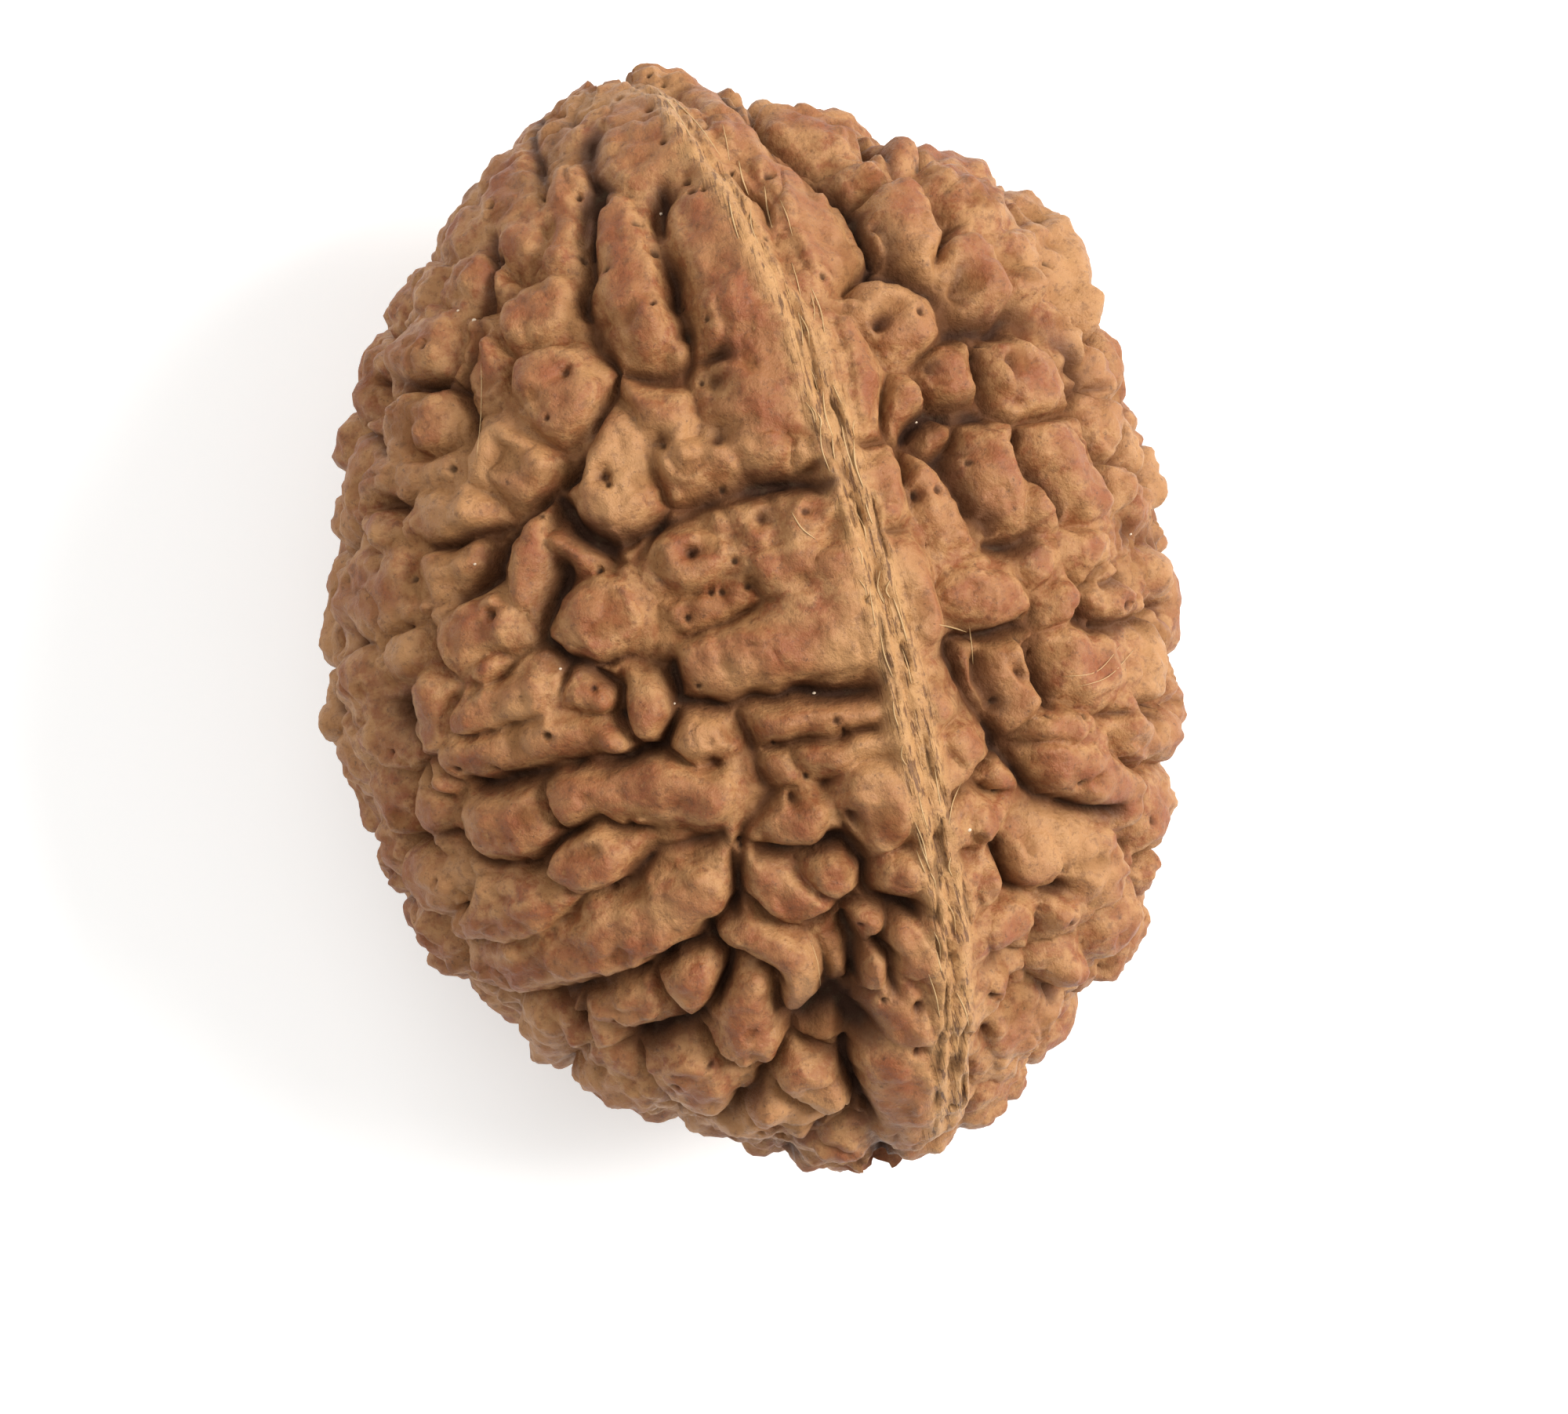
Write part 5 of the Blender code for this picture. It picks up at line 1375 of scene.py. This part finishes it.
class Web:
    """Short calls for the nodes that a finish is woven from."""

    def __init__(self, material: bpy.types.Material) -> None:
        """Start from a material's own shader.

        Args:
            material: A material that uses nodes.
        """
        self.tree = material.node_tree
        self.shader = self.tree.nodes["Principled BSDF"]
        self.place = self.tree.nodes.new("ShaderNodeTexCoord").outputs["Object"]

    def join(self, value: object, socket: bpy.types.NodeSocket) -> None:
        """Feed a socket from another socket, a number or a colour.

        Args:
            value: What to feed it.
            socket: The input to feed.
        """
        if isinstance(value, bpy.types.NodeSocket):
            self.tree.links.new(value, socket)
        else:
            socket.default_value = value

    def share(self, name: str) -> bpy.types.NodeSocket:
        """One of the shares kept on the mesh.

        Args:
            name: Its name.

        Returns:
            The share.
        """
        node = self.tree.nodes.new("ShaderNodeAttribute")
        node.attribute_name = name
        return node.outputs["Fac"]

    def noise(self, cloud: Cloud) -> bpy.types.NodeSocket:
        """Cloudy noise.

        Args:
            cloud: Its size and kind.

        Returns:
            The noise, between 0 and 1.
        """
        along = self.tree.nodes.new("ShaderNodeMapping")
        along.inputs["Scale"].default_value = (1, 1 / cloud.stretch, 1 / cloud.stretch)
        self.tree.links.new(self.place, along.inputs["Vector"])
        node = self.tree.nodes.new("ShaderNodeTexNoise")
        self.tree.links.new(along.outputs["Vector"], node.inputs["Vector"])
        node.inputs["Scale"].default_value = 1 / (cloud.size * MM)
        node.inputs["Detail"].default_value = cloud.detail
        node.inputs["Roughness"].default_value = cloud.rough
        return node.outputs["Fac"]

    def cloud(self, cloud: Cloud) -> bpy.types.NodeSocket:
        """A cloudy noise, faded in between its limits."""
        return self.fade(self.noise(cloud), (cloud.low, cloud.high, cloud.strength))

    def fade(self, value: object, fade: Fade) -> bpy.types.NodeSocket:
        """Fade a value in: nothing below the first limit, and the strength above the second."""
        low, high, strength = fade
        return self.spread(value, low, high, 0.0, strength)

    def spread(
        self, value: object, low: float, high: float, start: float, end: float
    ) -> bpy.types.NodeSocket:
        """Stretch the part of a value between two limits to a new range.

        Args:
            value: What to stretch.
            low: Where the range starts.
            high: Where it ends.
            start: What low becomes.
            end: What high becomes.

        Returns:
            The stretched value, held between start and end.
        """
        node = self.tree.nodes.new("ShaderNodeMapRange")
        node.interpolation_type = "SMOOTHSTEP"
        for socket, amount in zip(node.inputs, (value, low, high, start, end)):
            self.join(amount, socket)
        return node.outputs["Result"]

    def math(self, kind: str, first: object, second: object) -> bpy.types.NodeSocket:
        """One sum on two values.

        Args:
            kind: Which sum.
            first: The first value.
            second: The second value.

        Returns:
            Its result.
        """
        node = self.tree.nodes.new("ShaderNodeMath")
        node.operation = kind
        self.join(first, node.inputs[0])
        self.join(second, node.inputs[1])
        return node.outputs["Value"]

    def times(self, first: object, second: object) -> bpy.types.NodeSocket:
        """Multiply two values."""
        return self.math("MULTIPLY", first, second)

    def add(self, first: object, second: object) -> bpy.types.NodeSocket:
        """Add two values."""
        return self.math("ADD", first, second)

    def maximum(self, first: object, second: object) -> bpy.types.NodeSocket:
        """The greater of two values."""
        return self.math("MAXIMUM", first, second)

    def mix(self, share: object, first: object, second: object) -> bpy.types.NodeSocket:
        """Mix two colours.

        Args:
            share: How much of the second.
            first: The colour at 0.
            second: The colour at 1.

        Returns:
            The mixed colour.
        """
        node = self.tree.nodes.new("ShaderNodeMix")
        node.data_type = "RGBA"
        self.join(share, node.inputs["Factor"])
        self.join(first, node.inputs["A"])
        self.join(second, node.inputs["B"])
        return node.outputs["Result"]

    def bump(self, height: bpy.types.NodeSocket, depth: float, strength: float) -> None:
        """Roughen the shader's surface.

        Args:
            height: The relief, about 0 to 1.
            depth: How high 1 stands, in mm.
            strength: How much of it shows.
        """
        node = self.tree.nodes.new("ShaderNodeBump")
        node.inputs["Strength"].default_value = strength
        node.inputs["Distance"].default_value = depth * MM
        self.tree.links.new(height, node.inputs["Height"])
        self.tree.links.new(node.outputs["Normal"], self.shader.inputs["Normal"])


def placed(name: str, work: bmesh.types.BMesh) -> bpy.types.Object:
    """Put a form into the scene.

    Args:
        name: The object's name.
        work: Its form, which is freed.

    Returns:
        The object.
    """
    mesh = bpy.data.meshes.new(name)
    work.to_mesh(mesh)
    work.free()
    thing = bpy.data.objects.new(name, mesh)
    bpy.context.scene.collection.objects.link(thing)
    return thing


@dataclass
class Stone:
    """The bead itself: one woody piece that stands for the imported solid.

    Attributes:
        relief: The surface over the egg.
        finish: Its wood.
        detail: How fine its mesh is.
        channel_diameter: The stringing channel, in mm.
        rest_depth: How far below the egg's middle it is cut flat, in mm.
        inset: How far inside the solid's box it stays, in mm.
    """

    relief: Relief
    finish: WoodFinish
    detail: Detail
    channel_diameter: float = 1.4
    rest_depth: float = REST_HEIGHT
    inset: float = 0.005

    def build(self) -> bpy.types.Object:
        """Shape, thin, cut, place and dress the stone.

        Returns:
            The finished piece.
        """
        mesh = self.fine_mesh()
        stone = bpy.data.objects.new("rudraksha_stone", mesh)
        bpy.context.scene.collection.objects.link(stone)
        self.thin_and_cut(stone)
        self.fit(stone)
        stone.data.materials.clear()
        stone.data.materials.append(self.finish.material())
        stone.data.shade_smooth()
        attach(stone, BODY)
        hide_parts(NODE)
        return stone

    def fine_mesh(self) -> bpy.types.Mesh:
        """Shape a fine ball of triangles into the egg and raise it by the relief.

        Returns:
            The mesh, with the shares that the finish is mixed by.
        """
        work = bmesh.new()
        bmesh.ops.create_icosphere(work, subdivisions=self.detail.subdivisions, radius=1.0)
        mesh = bpy.data.meshes.new("rudraksha_stone")
        work.to_mesh(mesh)
        work.free()
        directions = self.read(mesh)
        directions /= np.linalg.norm(directions, axis=1)[:, None]
        egg = self.relief.egg.surface(directions)
        self.write(mesh, egg)
        normals = np.empty(len(mesh.vertices) * 3)
        mesh.vertex_normals.foreach_get("vector", normals)
        height, shares = self.relief.measure(egg)
        raised = egg + normals.reshape(-1, 3) * height[:, None]
        raised[:, 2] = np.maximum(raised[:, 2], -self.rest_depth)
        self.write(mesh, raised * MM)
        for name, share in shares.items():
            layer = mesh.attributes.new(name, "FLOAT", "POINT")
            layer.data.foreach_set("value", share.astype(np.float32))
        return mesh

    def thin_and_cut(self, stone: bpy.types.Object) -> None:
        """Keep the triangles that the form needs, and cut the channel through.

        Args:
            stone: The fine piece, whose mesh is changed.
        """
        fewer = stone.modifiers.new("fewer triangles", "DECIMATE")
        fewer.ratio = min(1.0, self.detail.triangles / len(stone.data.polygons))
        rod = self.rod()
        cut = stone.modifiers.new("channel", "BOOLEAN")
        cut.operation = "DIFFERENCE"
        cut.object = rod
        evaluated = stone.evaluated_get(bpy.context.evaluated_depsgraph_get())
        finished = bpy.data.meshes.new_from_object(evaluated)
        stone.modifiers.clear()
        stone.data = finished
        bpy.data.objects.remove(rod)

    def rod(self) -> bpy.types.Object:
        """The rod that the channel is cut with, lying along Y.

        Returns:
            The rod.
        """
        work = bmesh.new()
        lie_along_y = Matrix.Rotation(math.pi / 2, 4, "X")
        radius = self.channel_diameter / 2 * MM
        bmesh.ops.create_cone(
            work, cap_ends=True, segments=ROD_SIDES, radius1=radius, radius2=radius,
            depth=3 * self.relief.egg.half_length * MM,
            matrix=Matrix.Translation((CHANNEL_X * MM, 0, 0)) @ lie_along_y,
        )
        return placed("rod", work)

    def fit(self, stone: bpy.types.Object) -> None:
        """Move the stone from the egg's frame into the solid's box.

        Args:
            stone: The piece, whose mesh is moved.
        """
        low, high = (np.array(corner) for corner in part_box(NODE))
        places = self.read(stone.data)
        own_low, own_high = places.min(axis=0), places.max(axis=0)
        inset = self.inset * MM
        scale = (high - low - 2 * inset) / (own_high - own_low)
        log.info("stone fitted by a factor of %s", np.round(scale, 4).tolist())
        self.write(stone.data, (places - own_low) * scale + low + inset)

    @staticmethod
    def read(mesh: bpy.types.Mesh) -> np.ndarray:
        """A mesh's vertices, a row each.

        Args:
            mesh: The mesh.

        Returns:
            Their places.
        """
        places = np.empty(len(mesh.vertices) * 3)
        mesh.vertices.foreach_get("co", places)
        return places.reshape(-1, 3)

    @staticmethod
    def write(mesh: bpy.types.Mesh, places: np.ndarray) -> None:
        """Move a mesh's vertices."""
        mesh.vertices.foreach_set("co", places.ravel())
        mesh.update()


class Ground:
    """The finished stone's surface, found from above."""

    def __init__(self, stone: bpy.types.Object) -> None:
        """Take the surface of the stone."""
        self.tree = BVHTree.FromObject(stone, bpy.context.evaluated_depsgraph_get())

    def under(self, x: float, y: float) -> np.ndarray | None:
        """Drop a place on the face onto the stone.

        Args:
            x: Across the face, in mm.
            y: Along the face, in mm.

        Returns:
            The point of the surface in m, or None beside the stone.
        """
        start = Vector(((x + EGG_ORIGIN[0]) * MM, (y + EGG_ORIGIN[1]) * MM, 1.0))
        hit = self.tree.ray_cast(start, Vector((0.0, 0.0, -1.0)))[0]
        return None if hit is None else np.array(hit)


def plain_material(name: str, color: Color, roughness: float, glow: float = 0.0) -> bpy.types.Material:
    """A plain material.

    Args:
        name: Its name.
        color: Its colour.
        roughness: Its roughness.
        glow: How much of its colour it gives off by itself.

    Returns:
        The material.
    """
    material = bpy.data.materials.new(name)
    material.use_nodes = True
    shader = material.node_tree.nodes["Principled BSDF"]
    shader.inputs["Base Color"].default_value = color
    shader.inputs["Roughness"].default_value = roughness
    shader.inputs["Emission Color"].default_value = color
    shader.inputs["Emission Strength"].default_value = glow
    return material


def loose_piece(name: str, work: bmesh.types.BMesh, material: bpy.types.Material) -> bpy.types.Object:
    """Make a piece that clings to the stone.

    Args:
        name: Its name.
        work: Its form, which is freed.
        material: Its finish.

    Returns:
        The piece.
    """
    piece = placed(name, work)
    piece.data.materials.append(material)
    piece.data.shade_smooth()
    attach(piece, BODY)
    return piece


@dataclass
class Fibres:
    """Dry fibres that lie on the stone and span its hollows.

    Attributes:
        ground: The stone's surface.
        listed: (radius, places along it) of each fibre seen on the face.
        across: How far to the right of the keel's crest the seeded ones start, in mm.
        sway: How far they stray from there, in mm.
        steps: Rings along a fibre.
        sides: Corners of a ring.
        seat: How high its middle lies over the stone at least, in radii.
        tautness: How straight a fibre spans a hollow.
        ends: Where it starts and stops on the rounded form that thins it to its tips.
        color: Their colour.
        roughness: Their roughness.
    """

    ground: Ground
    listed: tuple = FIBRES
    across: Span = (0.0, 1.1)
    sway: float = 0.12
    steps: int = 13
    sides: int = 6
    seat: float = 0.6
    tautness: int = 6
    ends: Span = (0.04, 0.96)
    color: Color = (0.46, 0.29, 0.13, 1.0)
    roughness: float = 0.6

    def build(self) -> bpy.types.Object:
        """Lay every fibre.

        Returns:
            The fibres as one piece.
        """
        work = bmesh.new()
        for radius, *places in (*self.listed, *self.seeded()):
            path = self.path(places, radius * MM)
            if path is not None:
                self.spin(work, path, radius * MM)
        return loose_piece("dry_fibres", work, plain_material("dry_fibre", self.color, self.roughness))

    def seeded(self) -> Iterator[tuple]:
        """Short fibres along the strip of the keel.

        Yields:
            (radius, places along it) of each.
        """
        rng = np.random.default_rng(FIBRE_SEED)
        for _ in range(FIBRE_COUNT):
            y = rng.uniform(*FIBRE_REACH)
            length = rng.uniform(*FIBRE_LENGTHS)
            x = float(smooth_curve(np.array([y]), KEEL_LINE)[0]) + rng.uniform(*self.across)
            middle, end = x + rng.uniform(-self.sway, self.sway, 2)
            yield rng.uniform(*FIBRE_RADII), (x, y), (middle, y + length / 2), (end, y + length)

    def path(self, places: list[tuple[float, float]], radius: float) -> np.ndarray | None:
        """The middle line of a fibre.

        Args:
            places: Places along it on the face, in mm.
            radius: Its radius, in m.

        Returns:
            Points in m, or None where it leaves the stone.
        """
        knots = np.linspace(0, self.steps - 1, len(places))
        at = np.arange(self.steps)
        x = np.interp(at, knots, [place[0] for place in places])
        y = np.interp(at, knots, [place[1] for place in places])
        hits = [self.ground.under(*place) for place in zip(x, y)]
        if any(hit is None for hit in hits):
            return None
        points = np.array(hits)
        lowest = points[:, 2] + radius * self.seat
        points[:, 2] = lowest
        for _ in range(self.tautness):
            points[1:-1] = (points[:-2] + 2 * points[1:-1] + points[2:]) / 4
            points[:, 2] = np.maximum(points[:, 2], lowest)
        return points

    def spin(self, work: bmesh.types.BMesh, path: np.ndarray, radius: float) -> None:
        """Add a round thread with thin ends.

        Args:
            work: What it is added to.
            path: Its middle line, in m.
            radius: Its radius, in m.
        """
        ahead = np.gradient(path, axis=0)
        ahead /= np.linalg.norm(ahead, axis=1)[:, None]
        side = np.cross(ahead, (0.0, 0.0, 1.0))
        side /= np.maximum(np.linalg.norm(side, axis=1)[:, None], TINY)
        up = np.cross(side, ahead)
        around = np.arange(self.sides) * 2 * np.pi / self.sides
        width = radius * np.sqrt(np.sin(np.pi * np.linspace(*self.ends, len(path))))
        rings = []
        for place, left, top, half in zip(path, side, up, width):
            spokes = np.cos(around)[:, None] * left + np.sin(around)[:, None] * top
            rings.append([work.verts.new(corner) for corner in place + half * spokes])
        for ring, following in zip(rings, rings[1:]):
            for k in range(self.sides):
                m = (k + 1) % self.sides
                work.faces.new((ring[k], ring[m], following[m], following[k]))
        work.faces.new(rings[0][::-1])
        work.faces.new(rings[-1])


@dataclass
class Grit:
    """Bright grains caught on the stone.

    Attributes:
        ground: The stone's surface.
        listed: (radius, place) of each.
        squash: Their width, length and height, in parts of a ball's.
        color: Their colour.
        roughness: Their roughness.
    """

    ground: Ground
    listed: tuple = GRIT
    squash: tuple[float, float, float] = (1.0, 0.8, 0.6)
    color: Color = (0.60, 0.47, 0.34, 1.0)
    roughness: float = 0.35

    def build(self) -> bpy.types.Object:
        """Set every grain.

        Returns:
            The grains as one piece.
        """
        work = bmesh.new()
        for radius, place in self.listed:
            hit = self.ground.under(*place)
            if hit is not None:
                matrix = Matrix.Translation(Vector(hit)) @ Matrix.Diagonal((*self.squash, 1.0))
                bmesh.ops.create_icosphere(work, subdivisions=2, radius=radius * MM, matrix=matrix)
        return loose_piece("bright_grit", work, plain_material("bright_grit", self.color, self.roughness))


@dataclass(frozen=True)
class Floor:
    """The plain pale surface that the bead lies on."""

    size: float = 4.0
    glow: float = 0.3
    color: Color = (0.9, 0.9, 0.89, 1.0)
    roughness: float = 0.8

    def build(self) -> bpy.types.Object:
        """Lay the floor at the origin's height.

        Returns:
            The floor.
        """
        work = bmesh.new()
        bmesh.ops.create_grid(work, x_segments=1, y_segments=1, size=self.size / 2)
        floor = placed("pale_floor", work)
        floor.data.materials.append(plain_material(floor.name, self.color, self.roughness, self.glow))
        return floor


@dataclass(frozen=True)
class Camera:
    """The photograph's view, straight down on the face.

    Attributes:
        distance: From the camera down to the bead's outline, in m.
        pixels_per_mm: Size of the bead in the photograph, at its outline.
        turn: The bead's lean in the photograph, in degrees.
        middle: The place under the middle of the photograph, in mm from the middle of the egg.
    """

    distance: float = 0.6
    pixels_per_mm: float = 42.85
    turn: float = 14.04
    middle: tuple[float, float] = (0.099, -2.779)
    image_width: int = 2000
    sensor: float = 36.0

    def build(self, origin: Vector) -> bpy.types.Object:
        """Set the camera up and make it the scene's.

        Args:
            origin: The middle of the egg in the row frame, in m.

        Returns:
            The camera.
        """
        data = bpy.data.cameras.new("photograph_view")
        data.sensor_width = self.sensor
        data.lens = self.pixels_per_mm / MM * self.distance * self.sensor / self.image_width
        data.clip_end = 10.0
        camera = bpy.data.objects.new("photograph_view", data)
        bpy.context.scene.collection.objects.link(camera)
        place = origin + Vector((self.middle[0] * MM, self.middle[1] * MM, self.distance))
        camera.matrix_world = Matrix.Translation(place) @ Matrix.Rotation(-math.radians(self.turn), 4, "Z")
        bpy.context.scene.camera = camera
        return camera


@dataclass(frozen=True)
class Lamp:
    """A soft square light, placed round the bead.

    Attributes:
        bearing: Where it stands, in degrees from +X.
        height: Its height over the bead, in degrees.
        distance: From the bead, in m.
        size: Its side, in m.
        power: In W.
    """

    name: str
    bearing: float
    height: float
    distance: float
    size: float
    power: float
    color: tuple[float, float, float] = (1.0, 1.0, 1.0)

    def build(self, target: Vector) -> bpy.types.Object:
        """Hang the light and aim it.

        Args:
            target: What it points at.

        Returns:
            The light.
        """
        data = bpy.data.lights.new(self.name, "AREA")
        data.size = self.size
        data.energy = self.power
        data.color = self.color
        lamp = bpy.data.objects.new(self.name, data)
        bpy.context.scene.collection.objects.link(lamp)
        bearing, height = math.radians(self.bearing), math.radians(self.height)
        away = Vector((
            math.cos(bearing) * math.cos(height), math.sin(bearing) * math.cos(height), math.sin(height),
        ))
        lamp.location = target + away * self.distance
        lamp.rotation_euler = (-away).to_track_quat("-Z", "Y").to_euler()
        return lamp


@dataclass(frozen=True)
class Studio:
    """Two soft lights and an even white surround."""

    surround: float = 0.52
    lamps: tuple[Lamp, ...] = (
        Lamp("key", bearing=0.0, height=40.0, distance=0.4, size=0.2, power=2.35),
        Lamp("fill", bearing=120.0, height=65.0, distance=0.45, size=0.35, power=0.8),
    )

    def build(self, target: Vector) -> None:
        """Set the lights up around a point.

        Args:
            target: The point.
        """
        for lamp in self.lamps:
            lamp.build(target)
        world = bpy.data.worlds.new("white_surround")
        world.use_nodes = True
        background = world.node_tree.nodes["Background"]
        background.inputs["Color"].default_value = (1.0, 1.0, 1.0, 1.0)
        background.inputs["Strength"].default_value = self.surround
        bpy.context.scene.world = world
        bpy.context.scene.view_settings.view_transform = "Standard"


def main() -> None:
    """Build the stage, then the bead's pieces in order."""
    logging.basicConfig(level=logging.INFO, format="%(name)s: %(message)s")
    origin = Vector((*EGG_ORIGIN, 0.0)) * MM + Vector((0.0, 0.0, REST_HEIGHT * MM))
    Camera().build(origin)
    Studio().build(origin)
    Floor().build()
    detail = Detail.FINAL
    stone = Stone(Relief(), WoodFinish(), detail).build()
    log.info("%s: %d triangles", stone.name, len(stone.data.polygons))
    ground = Ground(stone)
    for piece in (Fibres(ground).build(), Grit(ground).build()):
        log.info("%s: %d faces", piece.name, len(piece.data.polygons))


if __name__ == "__main__":
    main()
